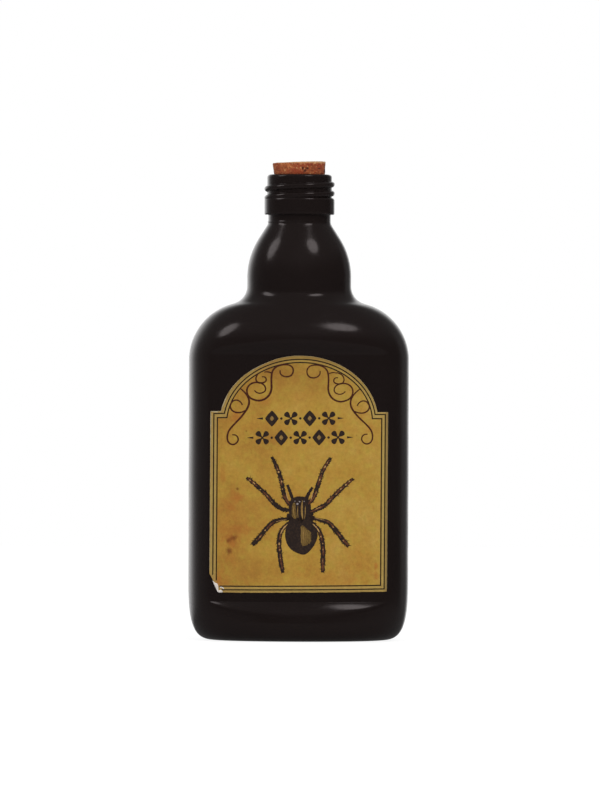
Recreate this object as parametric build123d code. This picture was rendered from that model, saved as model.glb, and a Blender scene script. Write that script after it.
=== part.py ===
from build123d import *
import math
import os

# A flat flask bottle of opaque black glass, stopped with a tapered cork, with one paper label.
# Millimetres, +Z up, origin on the standing plane under the middle of the bottle.
# The label faces -Y, and the wide side of the bottle runs along X.

# Bottle body: half sizes of its oval plan, half angle of its front bow, height of its heel's widest line
HALF_WIDTH = 44.4
HALF_DEPTH = 31.75
BOW_ANGLE = 24.0
BELLY_LOW = 8.2

# Heel, where the walls roll under to the standing ring
SIDE_HEEL_HEIGHT = 28.5
SIDE_HEEL_INSET = 12.0
SIDE_HEEL_POWER = 3.5
FRONT_HEEL_INSET = 7.5
FRONT_HEEL_POWER = 2.2
FOOT_WIDTH = 5.0
PUSH_UP = 2.5
PUSH_UP_DRAFT = 3.5

# Label, cut with an arched top between two square ears, one lower corner torn off
LABEL_HALF_WIDTH = 35.7
LABEL_HEIGHT = 95.0
LABEL_ARCH_OVER_EARS = 22.1
LABEL_ARCH_HALF_WIDTH = 32.2
LABEL_ARCH_HALF_HEIGHT = 27.0
LABEL_THICKNESS = 0.15
CORNER_LOSS_WIDTH = 4.2
CORNER_LOSS_HEIGHT = 7.6
ADHESIVE_THICKNESS = 0.06
ADHESIVE_INSET = 0.5
CORNER_UNSTUCK = 1.6
SHEET_CLEARANCE = 0.02

# Sunk label panels, front and back, between a rounded ledge below and a soft one above
PANEL_SINK = 2.8
LOW_LEDGE_RISE = 7.8
HIGH_LEDGE_RISE = 5.7
LABEL_ROOM_BELOW = 3.9
LABEL_ROOM_ABOVE = 0.6
LABEL_ROOM_BESIDE = 0.2
LEDGE_OVERRUN = 0.05
PANEL_REACH_OUT = 12.0

# Shoulder, from the walls in to the bell of the neck, its side arc starting below the panel's top
SHOULDER_OVERLAP = 2.3
SHOULDER_RISE = 23.5
SHOULDER_ROLL_LOW = 4.2
SHOULDER_ROLL_HIGH = 5.0
SHOULDER_SLOPE = 37.0

# Bell and neck
BELL_RADIUS = 20.9
SIDE_FOOT_RADIUS = 7.4
FRONT_FOOT_RADIUS = 4.0
BELL_STRAIGHT = 3.4
BELL_CROWN_RADIUS = 29.7
BELL_CROWN_ANGLE = 32.7
NECK_RADIUS = 12.5
NECK_FOOT_RADIUS = 3.4
NECK_STRAIGHT = 2.7

# Screw finish, with its locking bead below the thread
BEAD_RADIUS = 14.05
BEAD_HEIGHT = 6.9
BEAD_TOP_ROUND = 1.2
BEAD_BOTTOM_ROUND = 0.5
FINISH_RADIUS = 12.95
FINISH_HEIGHT = 16.25
RIM_OUTER_ROUND = 1.2
RIM_INNER_ROUND = 0.7
THREAD_PITCH = 3.63
THREAD_CREST_RADIUS = 14.1
THREAD_ROUND = 1.25
THREAD_RIGHT_BELOW_RIM = 4.0
THREAD_TURNS = 1.75
THREAD_FADE_TURNS = 0.22

# Glass walls, floor and bore
WALL = 2.6
FLOOR = 3.2
BORE_RADIUS = 10.3

# Cork, tapered, seated in the mouth
CORK_CLEARANCE = 0.08
CORK_LENGTH = 27.0
CORK_SHOWING = 4.95
CORK_TAPER = 5.0
CORK_TOP_TILT = 1.9
CORK_HEAD_LEAN = 0.25
CORK_EDGE = 0.4

# Cross sections that the heel and the shoulder are drawn through
HEEL_SECTION_COUNT = 18
SHOULDER_SECTION_COUNT = 20

# Heights that follow from the sizes above
PANEL_BOTTOM = BELLY_LOW + LOW_LEDGE_RISE
LABEL_BOTTOM = PANEL_BOTTOM + LABEL_ROOM_BELOW
PANEL_TOP = LABEL_BOTTOM + LABEL_HEIGHT + LABEL_ROOM_ABOVE
BELLY_HIGH = PANEL_TOP + HIGH_LEDGE_RISE
SHOULDER_START = PANEL_TOP - SHOULDER_OVERLAP


def oval_arcs(half_width, half_depth):
    """Radius of the side arcs of an oval, and how far out on X their centres lie."""
    turn = math.radians(BOW_ANGLE)
    gap = (half_width - half_depth) / (math.sin(turn) + math.cos(turn) - 1)
    centre_x = gap * math.sin(turn)
    return half_width - centre_x, centre_x


def oval(half_width, half_depth, z):
    """Closed outline of four tangent arcs: two flat ones in front and behind, two round ones at the sides."""
    turn = math.radians(BOW_ANGLE)
    side, centre_x = oval_arcs(half_width, half_depth)
    join_x = centre_x + side * math.sin(turn)
    join_y = side * math.cos(turn)
    corners = [(join_x, -join_y), (join_x, join_y), (-join_x, join_y), (-join_x, -join_y)]
    middles = [(half_width, 0), (0, half_depth), (-half_width, 0), (0, -half_depth)]
    arcs = []
    for n, (x, y) in enumerate(middles):
        start, end = corners[n], corners[(n + 1) % 4]
        arcs.append(Edge.make_three_point_arc((*start, z), (x, y, z), (*end, z)))
    return Wire(arcs)


def heel_share(z, height, power):
    """Share of a heel's inset that the wall has recovered at this height."""
    left = max(0.0, (height - z) / height)
    return (1 - left**power) ** (1 / power)


def side_foot():
    """Centre height of the fillet at the bell's foot, and the height where it leaves the side's curve."""
    across = HALF_WIDTH - BELL_RADIUS
    low, high = math.radians(45), math.radians(90)
    for _ in range(60):
        angle = (low + high) / 2
        normal = (math.cos(angle) / across, math.sin(angle) / SHOULDER_RISE)
        size = math.hypot(*normal)
        centre_x = across * math.cos(angle) + SIDE_FOOT_RADIUS * normal[0] / size
        if centre_x > SIDE_FOOT_RADIUS:
            low = angle
        else:
            high = angle
    leaves = SHOULDER_START + SHOULDER_RISE * math.sin(angle)
    return leaves + SIDE_FOOT_RADIUS * normal[1] / size, leaves


def front_slope():
    """Heights where the front shoulder's straight slope starts and ends, and of the fillet over it."""
    slope = math.radians(SHOULDER_SLOPE)
    start = BELLY_HIGH + SHOULDER_ROLL_LOW + SHOULDER_ROLL_HIGH * math.cos(slope)
    across = HALF_DEPTH - BELL_RADIUS
    across -= SHOULDER_ROLL_HIGH * math.sin(slope) + FRONT_FOOT_RADIUS * (1 - math.cos(slope))
    end = start + across / math.tan(slope)
    return start, end, end + FRONT_FOOT_RADIUS * math.sin(slope)


def foot_curve(fillet_radius, centre_height, z):
    """Distance from the bottle's axis of the bell's wall and of the fillet at its foot."""
    below = max(0.0, centre_height - z)
    return BELL_RADIUS + fillet_radius - math.sqrt(fillet_radius**2 - below**2)


def side_reach(z):
    """Half width of the outside at a height."""
    centre_height, leaves = side_foot()
    if z < SIDE_HEEL_HEIGHT:
        inset = SIDE_HEEL_INSET * (1 - heel_share(z, SIDE_HEEL_HEIGHT, SIDE_HEEL_POWER))
        return HALF_WIDTH - inset
    if z < SHOULDER_START:
        return HALF_WIDTH
    if z < leaves:
        rise = (z - SHOULDER_START) / SHOULDER_RISE
        return BELL_RADIUS + (HALF_WIDTH - BELL_RADIUS) * math.sqrt(1 - rise**2)
    return foot_curve(SIDE_FOOT_RADIUS, centre_height, z)


def front_reach(z):
    """Half depth of the outside at a height, as if it had no sunk panel."""
    start, end, foot_top = front_slope()
    if z < BELLY_LOW:
        inset = FRONT_HEEL_INSET * (1 - heel_share(z, BELLY_LOW, FRONT_HEEL_POWER))
        return HALF_DEPTH - inset
    if z < BELLY_HIGH:
        return HALF_DEPTH
    slope = math.radians(SHOULDER_SLOPE)
    roll_in = SHOULDER_ROLL_HIGH * math.sin(slope)
    if z < start:
        quick = SHOULDER_ROLL_HIGH * math.cos(slope) - SHOULDER_ROLL_LOW
        slow = 2 * SHOULDER_ROLL_LOW
        share = (-slow + math.sqrt(slow**2 + 4 * quick * (z - BELLY_HIGH))) / (2 * quick)
        return HALF_DEPTH - roll_in * share**2
    if z < end:
        return HALF_DEPTH - roll_in - (z - start) * math.tan(slope)
    return foot_curve(FRONT_FOOT_RADIUS, foot_top, z)


def bell_base():
    """Height above which the body is the round bell."""
    return max(side_foot()[0], front_slope()[2])


def spaced(low, high, count, ease_low=False):
    """Heights from low to high, closer together near the low end where the wall turns fast."""
    shares = [n / count for n in range(count + 1)]
    if ease_low:
        shares = [1 - math.cos(s * math.pi / 2) for s in shares]
    return [low + (high - low) * s for s in shares]


def body_form(wall, lowest):
    """Solid form of the body from its heel to the foot of the bell, drawn in by a wall."""
    def section(z):
        return oval(side_reach(z) - wall, front_reach(z) - wall, z)

    heel_heights = spaced(lowest, SIDE_HEEL_HEIGHT, HEEL_SECTION_COUNT, True)
    heel = Solid.make_loft([section(z) for z in heel_heights])
    walls_height = SHOULDER_START - SIDE_HEEL_HEIGHT
    walls = extrude(Face(section(SIDE_HEEL_HEIGHT)), walls_height, dir=(0, 0, 1))
    shoulder_heights = spaced(SHOULDER_START, bell_base(), SHOULDER_SECTION_COUNT)
    shoulder = Solid.make_loft([section(z) for z in shoulder_heights])
    panel = panel_space(wall)
    return heel + walls + shoulder - panel - Rot(0, 0, 180) * panel


def panel_radius():
    """Radius that bows the panel from its full sink in the middle to none just beside the label."""
    edge = LABEL_HALF_WIDTH + LABEL_ROOM_BESIDE
    side, centre_x = oval_arcs(HALF_WIDTH, HALF_DEPTH)
    edge_depth = math.sqrt(side**2 - (edge - centre_x) ** 2)
    bow = HALF_DEPTH - PANEL_SINK - edge_depth
    return (edge**2 + bow**2) / (2 * bow)


def panel_axis():
    """Distance behind the bottle's axis of the upright line that the front panel bows about."""
    return panel_radius() + PANEL_SINK - HALF_DEPTH


def panel_space(wall):
    """Space in front of the front label panel, bounded by its bowed face and its two ledges."""
    face = panel_radius() - wall
    ledge = face + PANEL_SINK + LEDGE_OVERRUN
    far = ledge + PANEL_REACH_OUT
    low_start, low_end = PANEL_BOTTOM - wall, BELLY_LOW - wall
    high_start, high_end = PANEL_TOP + wall, BELLY_HIGH + wall
    run, rise = ledge - face, low_start - low_end
    roll = (run**2 + rise**2) / (2 * run)
    half_turn = math.asin(rise / roll) / 2
    low_middle = (ledge - roll * (1 - math.cos(half_turn)), low_end + roll * math.sin(half_turn))
    outline = [
        ThreePointArc((ledge, low_end), low_middle, (face, low_start)),
        Line((face, low_start), (face, high_start)),
        Spline((face, high_start), (ledge, high_end), tangents=[(0, 1), (0, 1)]),
        *Polyline((ledge, high_end), (far, high_end), (far, low_end), (ledge, low_end)).edges(),
    ]
    return Pos(0, panel_axis(), 0) * turned(outline)


def crown_end(bell, crown):
    """Radius, and height above the crown's start, where its arc passes into the slope to the neck."""
    turn = math.radians(BELL_CROWN_ANGLE)
    return bell - crown * (1 - math.cos(turn)), crown * math.sin(turn)


def neck_start():
    """Height where the neck's straight part starts."""
    turn = math.radians(BELL_CROWN_ANGLE)
    radius, rise = crown_end(BELL_RADIUS, BELL_CROWN_RADIUS)
    foot = NECK_RADIUS + NECK_FOOT_RADIUS * (1 - math.cos(turn))
    slope_rise = (radius - foot) / math.tan(turn)
    return crown_start() + rise + slope_rise + NECK_FOOT_RADIUS * math.sin(turn)


def crown_start():
    """Height where the bell's upright wall turns into its crown."""
    return bell_base() + BELL_STRAIGHT


def bead_bottom():
    return neck_start() + NECK_STRAIGHT


def rim_height():
    return bead_bottom() + FINISH_HEIGHT


def neck_form(wall, neck, top):
    """Solid of revolution: bell wall, round crown, slope, small foot and neck, drawn in by a wall."""
    turn = math.radians(BELL_CROWN_ANGLE)
    bell, crown, foot = BELL_RADIUS - wall, BELL_CROWN_RADIUS - wall, NECK_FOOT_RADIUS + wall
    start = crown_start()
    slope_radius, rise = crown_end(bell, crown)
    slope_start = (slope_radius, start + rise)
    foot_radius = neck + foot * (1 - math.cos(turn))
    foot_start = (foot_radius, start + rise + (slope_radius - foot_radius) / math.tan(turn))
    foot_end = (neck, foot_start[1] + foot * math.sin(turn))
    crown_middle = (
        bell - crown * (1 - math.cos(turn / 2)),
        start + crown * math.sin(turn / 2),
    )
    foot_middle = (
        neck + foot * (1 - math.cos(turn / 2)),
        foot_end[1] - foot * math.sin(turn / 2),
    )
    low = bell_base()
    outline = [
        *Polyline((0, low), (bell, low), (bell, start)).edges(),
        ThreePointArc((bell, start), crown_middle, slope_start),
        Line(slope_start, foot_start),
        ThreePointArc(foot_start, foot_middle, foot_end),
        *Polyline(foot_end, (neck, top), (0, top), (0, low)).edges(),
    ]
    return turned(outline)


def turned(outline):
    """Turns a closed outline, drawn as radius and height, about the bottle's axis."""
    face = Plane.XZ * make_face(outline)
    return revolve(face, Axis.Z)


def thread():
    """Rounded thread ridge that fades into the wall at its upper end and runs into the bead below."""
    crest = THREAD_CREST_RADIUS - THREAD_ROUND
    sunk = FINISH_RADIUS - THREAD_ROUND
    right_height = rim_height() - THREAD_RIGHT_BELOW_RIM
    full_turns = THREAD_TURNS - THREAD_FADE_TURNS
    full = Helix(THREAD_PITCH, THREAD_PITCH * full_turns, crest)
    full = Pos(0, 0, right_height - THREAD_PITCH * full_turns) * Rot(0, 0, -360 * full_turns) * full
    fade_height = THREAD_PITCH * THREAD_FADE_TURNS
    fade_angle = math.degrees(math.atan2(crest - sunk, fade_height))
    fade = Pos(0, 0, right_height) * Helix(THREAD_PITCH, fade_height, crest, cone_angle=-fade_angle)
    ridges = []
    for path in (full, fade):
        section = Plane(path @ 0, z_dir=path % 0) * Circle(THREAD_ROUND)
        ridges.append(sweep(section, path, is_frenet=True))
    return ridges


def finish():
    """Outside of the neck finish: bead, thread wall and rim."""
    bead = Pos(0, 0, bead_bottom()) * extrude(Circle(BEAD_RADIUS), BEAD_HEIGHT)
    bead = fillet(bead.edges().sort_by(Axis.Z)[-1], BEAD_TOP_ROUND)
    bead = fillet(bead.edges().sort_by(Axis.Z)[0], BEAD_BOTTOM_ROUND)
    wall_height = FINISH_HEIGHT - BEAD_HEIGHT + BEAD_TOP_ROUND
    wall = Pos(0, 0, rim_height() - wall_height) * extrude(Circle(FINISH_RADIUS), wall_height)
    wall = fillet(wall.edges().sort_by(Axis.Z)[-1], RIM_OUTER_ROUND)
    return bead + wall


def bottle():
    outer = body_form(0, 0) + neck_form(0, NECK_RADIUS, bead_bottom()) + finish()
    for ridge in thread():
        outer += ridge
    inner = body_form(WALL, PUSH_UP + FLOOR) + neck_form(WALL, BORE_RADIUS, rim_height()) + mouth_round()
    foot_x, foot_y = side_reach(0) - FOOT_WIDTH, front_reach(0) - FOOT_WIDTH
    foot = oval(foot_x, foot_y, 0)
    dome = oval(foot_x - PUSH_UP_DRAFT, foot_y - PUSH_UP_DRAFT, PUSH_UP)
    return outer - inner - Solid.make_loft([foot, dome], ruled=True)


def mouth_round():
    """Space that rounds the inner edge of the rim."""
    rim = rim_height()
    low = rim - RIM_INNER_ROUND
    wide = BORE_RADIUS + RIM_INNER_ROUND
    half = RIM_INNER_ROUND * math.sqrt(0.5)
    outline = [
        *Polyline((0, rim), (0, low), (BORE_RADIUS, low)).edges(),
        ThreePointArc((BORE_RADIUS, low), (wide - half, low + half), (wide, rim)),
        Line((wide, rim), (0, rim)),
    ]
    return turned(outline)


def cork():
    """Tapered stopper, straight in the bore, its head leaning a little to -X and cut off aslant."""
    seat_height = rim_height() - RIM_INNER_ROUND
    seat = BORE_RADIUS - CORK_CLEARANCE
    spread = math.tan(math.radians(CORK_TAPER))
    top_height = rim_height() + CORK_SHOWING
    foot_height = top_height - CORK_LENGTH
    foot = seat - (seat_height - foot_height) * spread
    head = seat + (top_height - seat_height) * spread
    plug = Solid.make_cone(foot, seat, seat_height - foot_height, Plane((0, 0, foot_height)))
    spare = math.tan(math.radians(CORK_TOP_TILT)) * head + CORK_EDGE
    lean = CORK_HEAD_LEAN / (top_height - seat_height)
    rings = []
    for height in (seat_height, top_height + spare):
        lift = height - seat_height
        ring = Plane((-lean * lift, 0, height)) * Circle(seat + lift * spread)
        rings.append(ring.wire())
    stopper = plug + Solid.make_loft(rings, ruled=True)
    above = Box(4 * head, 4 * head, 4 * spare, align=(Align.CENTER, Align.CENTER, Align.MIN))
    stopper -= Plane((0, 0, top_height)) * Rot(0, -CORK_TOP_TILT, 0) * above
    stopper = chamfer(stopper.edges().sort_by(Axis.Z)[-1], CORK_EDGE)
    return chamfer(stopper.edges().sort_by(Axis.Z)[0], CORK_EDGE)


def label_outline(inset, corner_spare):
    """Face of the label's outline, drawn in all round, its torn corner drawn in further."""
    side = LABEL_HALF_WIDTH - inset
    low = LABEL_BOTTOM + inset
    top = LABEL_BOTTOM + LABEL_HEIGHT
    ear = top - LABEL_ARCH_OVER_EARS - inset
    centre = top - LABEL_ARCH_HALF_HEIGHT
    across, rise = LABEL_ARCH_HALF_WIDTH - inset, LABEL_ARCH_HALF_HEIGHT - inset
    start = math.asin((ear - centre) / rise)
    foot = across * math.cos(start)
    loss_x, loss_z = CORNER_LOSS_WIDTH + corner_spare, CORNER_LOSS_HEIGHT + corner_spare
    turn = math.degrees(start)
    outline = [
        *Polyline(
            (foot, ear), (side, ear), (side, low), (-side + loss_x, low), (-side, low + loss_z),
            (-side, ear), (-foot, ear),
        ).edges(),
        EllipticalCenterArc((0, centre), across, rise, turn, arc_size=180 - 2 * turn),
    ]
    return make_face(outline)


def on_panel(face, lift, thickness):
    """Bends an outline over the front panel, as a sheet lifted off it."""
    inner = panel_radius() + lift
    height = LABEL_BOTTOM + LABEL_HEIGHT
    sheet = Circle(inner + thickness) - Circle(inner)
    ring = Pos(0, panel_axis(), 0) * extrude(sheet, 2 * height)
    punch = extrude(Plane.XZ * face, 2 * HALF_DEPTH)
    return ring & punch


def label():
    lift = ADHESIVE_THICKNESS + 2 * SHEET_CLEARANCE
    return on_panel(label_outline(0, 0), lift, LABEL_THICKNESS)


def label_adhesive():
    outline = label_outline(ADHESIVE_INSET, CORNER_UNSTUCK)
    return on_panel(outline, SHEET_CLEARANCE, ADHESIVE_THICKNESS)


parts = {
    "bottle": bottle(),
    "cork_stopper": cork(),
    "label": label(),
    "label_adhesive": label_adhesive(),
}
os.makedirs("parts", exist_ok=True)
for name, shape in parts.items():
    export_step(shape, f"parts/{name}.step")
    print(name, len(shape.solids()), round(shape.volume, 1), shape.is_valid, shape.bounding_box())
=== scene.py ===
import math

import bpy
import numpy as np
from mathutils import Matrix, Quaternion, Vector, noise


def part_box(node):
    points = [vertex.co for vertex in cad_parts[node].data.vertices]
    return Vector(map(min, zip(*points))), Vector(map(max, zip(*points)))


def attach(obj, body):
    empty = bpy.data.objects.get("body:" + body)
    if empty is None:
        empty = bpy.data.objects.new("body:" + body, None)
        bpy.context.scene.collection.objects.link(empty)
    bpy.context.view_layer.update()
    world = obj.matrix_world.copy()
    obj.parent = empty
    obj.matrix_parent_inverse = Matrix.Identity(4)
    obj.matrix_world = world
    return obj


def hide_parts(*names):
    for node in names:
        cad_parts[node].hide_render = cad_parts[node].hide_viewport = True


# Lengths are in millimetres and heights are above the standing plane, until a mesh is made in metres.
MM = 0.001

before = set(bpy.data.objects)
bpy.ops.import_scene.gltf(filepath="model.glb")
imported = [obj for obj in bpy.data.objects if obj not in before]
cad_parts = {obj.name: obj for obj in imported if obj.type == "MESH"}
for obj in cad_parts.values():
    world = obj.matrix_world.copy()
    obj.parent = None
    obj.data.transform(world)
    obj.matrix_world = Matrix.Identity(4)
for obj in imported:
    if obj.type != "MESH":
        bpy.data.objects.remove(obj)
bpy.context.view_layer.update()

# Oval body of the bottle
HALF_WIDTH = 44.4
HALF_DEPTH = 31.75
BOW_ANGLE = 24.0
BELLY_LOW = 8.2
SIDE_HEEL_HEIGHT = 28.5
SIDE_HEEL_INSET = 12.0
SIDE_HEEL_POWER = 3.5
FRONT_HEEL_INSET = 7.5
FRONT_HEEL_POWER = 2.2
FOOT_WIDTH = 5.0
PUSH_UP = 2.5
PUSH_UP_DRAFT = 3.5

# Label
LABEL_BOTTOM = 19.9
LABEL_HALF_WIDTH = 35.7
LABEL_HEIGHT = 95.0
LABEL_ARCH_OVER_EARS = 22.1
LABEL_ARCH_HALF_WIDTH = 32.2
LABEL_ARCH_HALF_HEIGHT = 27.0
LABEL_THICKNESS = 0.15
LABEL_LIFT = 0.1
LABEL_SHIFT = 0.13
LABEL_LEAN = 0.2
LABEL_SLANT = 0.45
CORNER_LOSS_WIDTH = 4.2
CORNER_LOSS_HEIGHT = 7.6

# Sunk panels, shoulder, bell and neck
PANEL_SINK = 2.8
PANEL_BOTTOM = 16.0
PANEL_TOP = 115.5
BELLY_HIGH = 121.2
PANEL_EDGE = 35.9
SHOULDER_START = 113.2
SHOULDER_RISE = 23.5
SHOULDER_ROLL_LOW = 4.2
SHOULDER_ROLL_HIGH = 5.0
SHOULDER_SLOPE = 37.0
SIDE_FOOT_RADIUS = 7.4
FRONT_FOOT_RADIUS = 4.0
BELL_RADIUS = 20.9
BELL_STRAIGHT = 3.4
BELL_CROWN_RADIUS = 29.7
BELL_CROWN_ANGLE = 32.7
NECK_RADIUS = 12.5
NECK_FOOT_RADIUS = 3.4

# Screw finish and mouth, measured down from the rim
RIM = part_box("bottle")[1][2] / MM
FINISH_HEIGHT = 16.25
BEAD_FILLET = 0.25
BEAD_RADIUS = 14.05
BEAD_HEIGHT = 6.9
BEAD_TOP_ROUND = 1.2
BEAD_BOTTOM_ROUND = 0.5
FINISH_RADIUS = 12.95
RIM_OUTER_ROUND = 1.2
RIM_INNER_ROUND = 0.7
THREAD_PITCH = 3.63
THREAD_CREST_RADIUS = 14.1
THREAD_ROUND = 1.25
THREAD_RIGHT_BELOW_RIM = 4.0
THREAD_TURNS = 1.75
THREAD_FADE_TURNS = 0.22
THREAD_FOOT_ROUND = 0.25
BEAD_BOTTOM = RIM - FINISH_HEIGHT
WALL = 2.6
FLOOR = 3.2
BORE_RADIUS = 10.3

# Moulded glass: how soft its creases are, the seams of its mould, and its slight waves
CREASE_ROUND = 0.45
SEAM_HEIGHT = 0.09
SEAM_WIDTH = 0.28
RING_SEAM_DROP = 2.95
RING_SEAM_HEIGHT = 0.28
RING_SEAM_WIDTH = 0.22
GLASS_WAVE = 0.055
GLASS_RIPPLE = 0.012

# Cork
CORK_CLEARANCE = 0.08
CORK_LENGTH = 27.0
CORK_SHOWING = 4.95
CORK_TOP = RIM + CORK_SHOWING
CORK_FOOT = CORK_TOP - CORK_LENGTH
CORK_TAPER = 5.0
CORK_TOP_TILT = 1.9
CORK_HEAD_LEAN = 0.25
CORK_EDGE = 0.35
CORK_FOOT_ROUND = 0.4
# Inset and drop of the points along its worn upper edge
CORK_WORN_EDGE = ((0.06, 0.2), (0.16, 0.09), (0.3, 0.03), (0.5, 0.0))
# Height from which the neck no longer grips the cork, and how far it is pressed in below that
CORK_FREE_FROM = RIM + 0.2
CORK_PRESSED_IN = 0.07
CORK_PIT_DEPTH = 0.5


def linear(colour):
    """Linear RGBA of an sRGB hex colour such as #A98638."""
    parts = [int(colour[n:n + 2], 16) / 255 for n in (1, 3, 5)]
    parts = [p / 12.92 if p <= 0.04045 else ((p + 0.055) / 1.055) ** 2.4 for p in parts]
    return (*parts, 1.0)


def add(tree, kind, inputs=None, **settings):
    """Adds a shader node with its settings.

    Each input is a plain value, a node's output, or a node, which stands for its first output in use.
    """
    made = tree.nodes.new("ShaderNode" + kind)
    for name, value in settings.items():
        setattr(made, name, value)
    for name, value in (inputs or {}).items():
        if isinstance(value, bpy.types.Node):
            value = next(output for output in value.outputs if output.enabled)
        if isinstance(value, bpy.types.NodeSocket):
            tree.links.new(value, made.inputs[name])
        else:
            made.inputs[name].default_value = value
    return made


def fine(size):
    """Scale of a pattern whose grains or clouds are about this many millimetres across."""
    return 1 / (size * MM)


def new_material(name):
    """Material with an empty tree of nodes, and that tree."""
    material = bpy.data.materials.new(name)
    material.use_nodes = True
    material.node_tree.nodes.clear()
    return material, material.node_tree


def finish_material(tree, surface):
    """Links a material's last shader to its output."""
    add(tree, "OutputMaterial", {"Surface": surface})


def make_piece(name, points, faces, body, material, sharp=None):
    """Mesh object from points in millimetres, which rides on a body of the frame."""
    mesh = bpy.data.meshes.new(name)
    mesh.from_pydata((np.asarray(points) * MM).tolist(), [], faces)
    mesh.validate()
    mesh.shade_smooth()
    if sharp:
        mesh.set_sharp_from_angle(angle=math.radians(sharp))
    piece = bpy.data.objects.new(name, mesh)
    bpy.context.scene.collection.objects.link(piece)
    mesh.materials.append(material)
    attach(piece, body)
    return piece


def uneven(x, y, z):
    """Smooth unevenness at a place, from about -1 to 1."""
    return noise.noise(Vector((x, y, z)))


def ring_faces(ring_count, around, closed=True):
    """Quads between rings of points that follow one another."""
    faces = []
    last = around if closed else around - 1
    for ring in range(ring_count - 1):
        for n in range(last):
            low, high = ring * around, (ring + 1) * around
            m = (n + 1) % around
            faces.append((low + n, low + m, high + m, high + n))
    return faces


def capped_skin(rings, low, high):
    """Points and faces of a skin through rings of points, closed over one point at each end."""
    count, around = len(rings), len(rings[0])
    faces = ring_faces(count, around)
    last = (count - 1) * around
    for n in range(around):
        m = (n + 1) % around
        faces.append((count * around, m, n))
        faces.append((count * around + 1, last + n, last + m))
    return np.vstack(rings + [[low], [high]]), faces


def soft_least(a, b, round_over):
    """Smaller of two distances, with the crease between them rounded."""
    share = np.clip(0.5 + 0.5 * (b - a) / round_over, 0, 1)
    return b + (a - b) * share - round_over * share * (1 - share)


def soft_most(a, b, round_over):
    """Larger of two distances, with the crease between them rounded."""
    return -soft_least(-a, -b, round_over)


# Bottle


def oval_arcs(half_width, half_depth):
    """Side radius, side centre, front radius and front centre of the oval of four tangent arcs."""
    turn = math.radians(BOW_ANGLE)
    gap = (half_width - half_depth) / (math.sin(turn) + math.cos(turn) - 1)
    centre_x = gap * math.sin(turn)
    side = half_width - centre_x
    front = side + gap
    return side, centre_x, front, half_depth - front


def oval_reach(half_width, half_depth, angles):
    """Distance of the oval from the axis at each angle around it."""
    side, centre_x, front, centre_y = oval_arcs(half_width, half_depth)
    turn = math.radians(BOW_ANGLE)
    across, along = np.abs(np.cos(angles)), np.abs(np.sin(angles))
    join = math.atan2(side * math.cos(turn), centre_x + side * math.sin(turn))
    beside = across * centre_x + np.sqrt(np.maximum(side**2 - (along * centre_x) ** 2, 0))
    before = along * centre_y + np.sqrt(np.maximum(front**2 - (across * centre_y) ** 2, 0))
    return np.where(np.arctan2(along, across) < join, beside, before)


def oval_depth(half_width, half_depth, x):
    """Half depth of the oval at a distance from its middle."""
    side, centre_x, front, centre_y = oval_arcs(half_width, half_depth)
    x = abs(x)
    if x < centre_x + side * math.sin(math.radians(BOW_ANGLE)):
        return math.sqrt(front**2 - x**2) + centre_y
    return math.sqrt(max(side**2 - (x - centre_x) ** 2, 0))


def panel_radius():
    """Radius of the sunk panels' bow, which meets the oval at their upright edges."""
    bow = HALF_DEPTH - PANEL_SINK - oval_depth(HALF_WIDTH, HALF_DEPTH, PANEL_EDGE)
    return (PANEL_EDGE**2 + bow**2) / (2 * bow)


PANEL_RADIUS = panel_radius()
PANEL_AXIS = PANEL_RADIUS + PANEL_SINK - HALF_DEPTH


def heel_share(z, height, power):
    """How far the heel's curve has come out to the full size at a height, from 0 to 1."""
    left = max(0.0, (height - z) / height)
    return (1 - left**power) ** (1 / power)


def side_foot():
    """Centre height of the fillet at the bell's foot, and the height where it leaves the side's curve."""
    across = HALF_WIDTH - BELL_RADIUS
    # The place where the fillet just meets both curves is closed in on by halving
    low, high = math.radians(45), math.radians(90)
    for _ in range(60):
        angle = (low + high) / 2
        normal = (math.cos(angle) / across, math.sin(angle) / SHOULDER_RISE)
        size = math.hypot(*normal)
        centre_x = across * math.cos(angle) + SIDE_FOOT_RADIUS * normal[0] / size
        if centre_x > SIDE_FOOT_RADIUS:
            low = angle
        else:
            high = angle
    leaves = SHOULDER_START + SHOULDER_RISE * math.sin(angle)
    return leaves + SIDE_FOOT_RADIUS * normal[1] / size, leaves


def front_slope():
    """Heights where the front shoulder's slope starts and ends, and of the centre of the fillet over it."""
    slope = math.radians(SHOULDER_SLOPE)
    start = BELLY_HIGH + SHOULDER_ROLL_LOW + SHOULDER_ROLL_HIGH * math.cos(slope)
    across = HALF_DEPTH - BELL_RADIUS
    across -= SHOULDER_ROLL_HIGH * math.sin(slope) + FRONT_FOOT_RADIUS * (1 - math.cos(slope))
    end = start + across / math.tan(slope)
    return start, end, end + FRONT_FOOT_RADIUS * math.sin(slope)


SIDE_FOOT = side_foot()
FRONT_SLOPE = front_slope()
BELL_BASE = max(SIDE_FOOT[0], FRONT_SLOPE[2])
CROWN_START = BELL_BASE + BELL_STRAIGHT


def foot_curve(fillet_radius, centre_height, z):
    """Distance from the axis of the fillet at the bell's foot at a height."""
    below = max(0.0, centre_height - z)
    return BELL_RADIUS + fillet_radius - math.sqrt(fillet_radius**2 - below**2)


def side_reach(z):
    """Half width of the outside at a height."""
    if z < SIDE_HEEL_HEIGHT:
        return HALF_WIDTH - SIDE_HEEL_INSET * (1 - heel_share(z, SIDE_HEEL_HEIGHT, SIDE_HEEL_POWER))
    if z < SHOULDER_START:
        return HALF_WIDTH
    if z < SIDE_FOOT[1]:
        rise = (z - SHOULDER_START) / SHOULDER_RISE
        return BELL_RADIUS + (HALF_WIDTH - BELL_RADIUS) * math.sqrt(1 - rise**2)
    return foot_curve(SIDE_FOOT_RADIUS, SIDE_FOOT[0], z)


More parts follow.
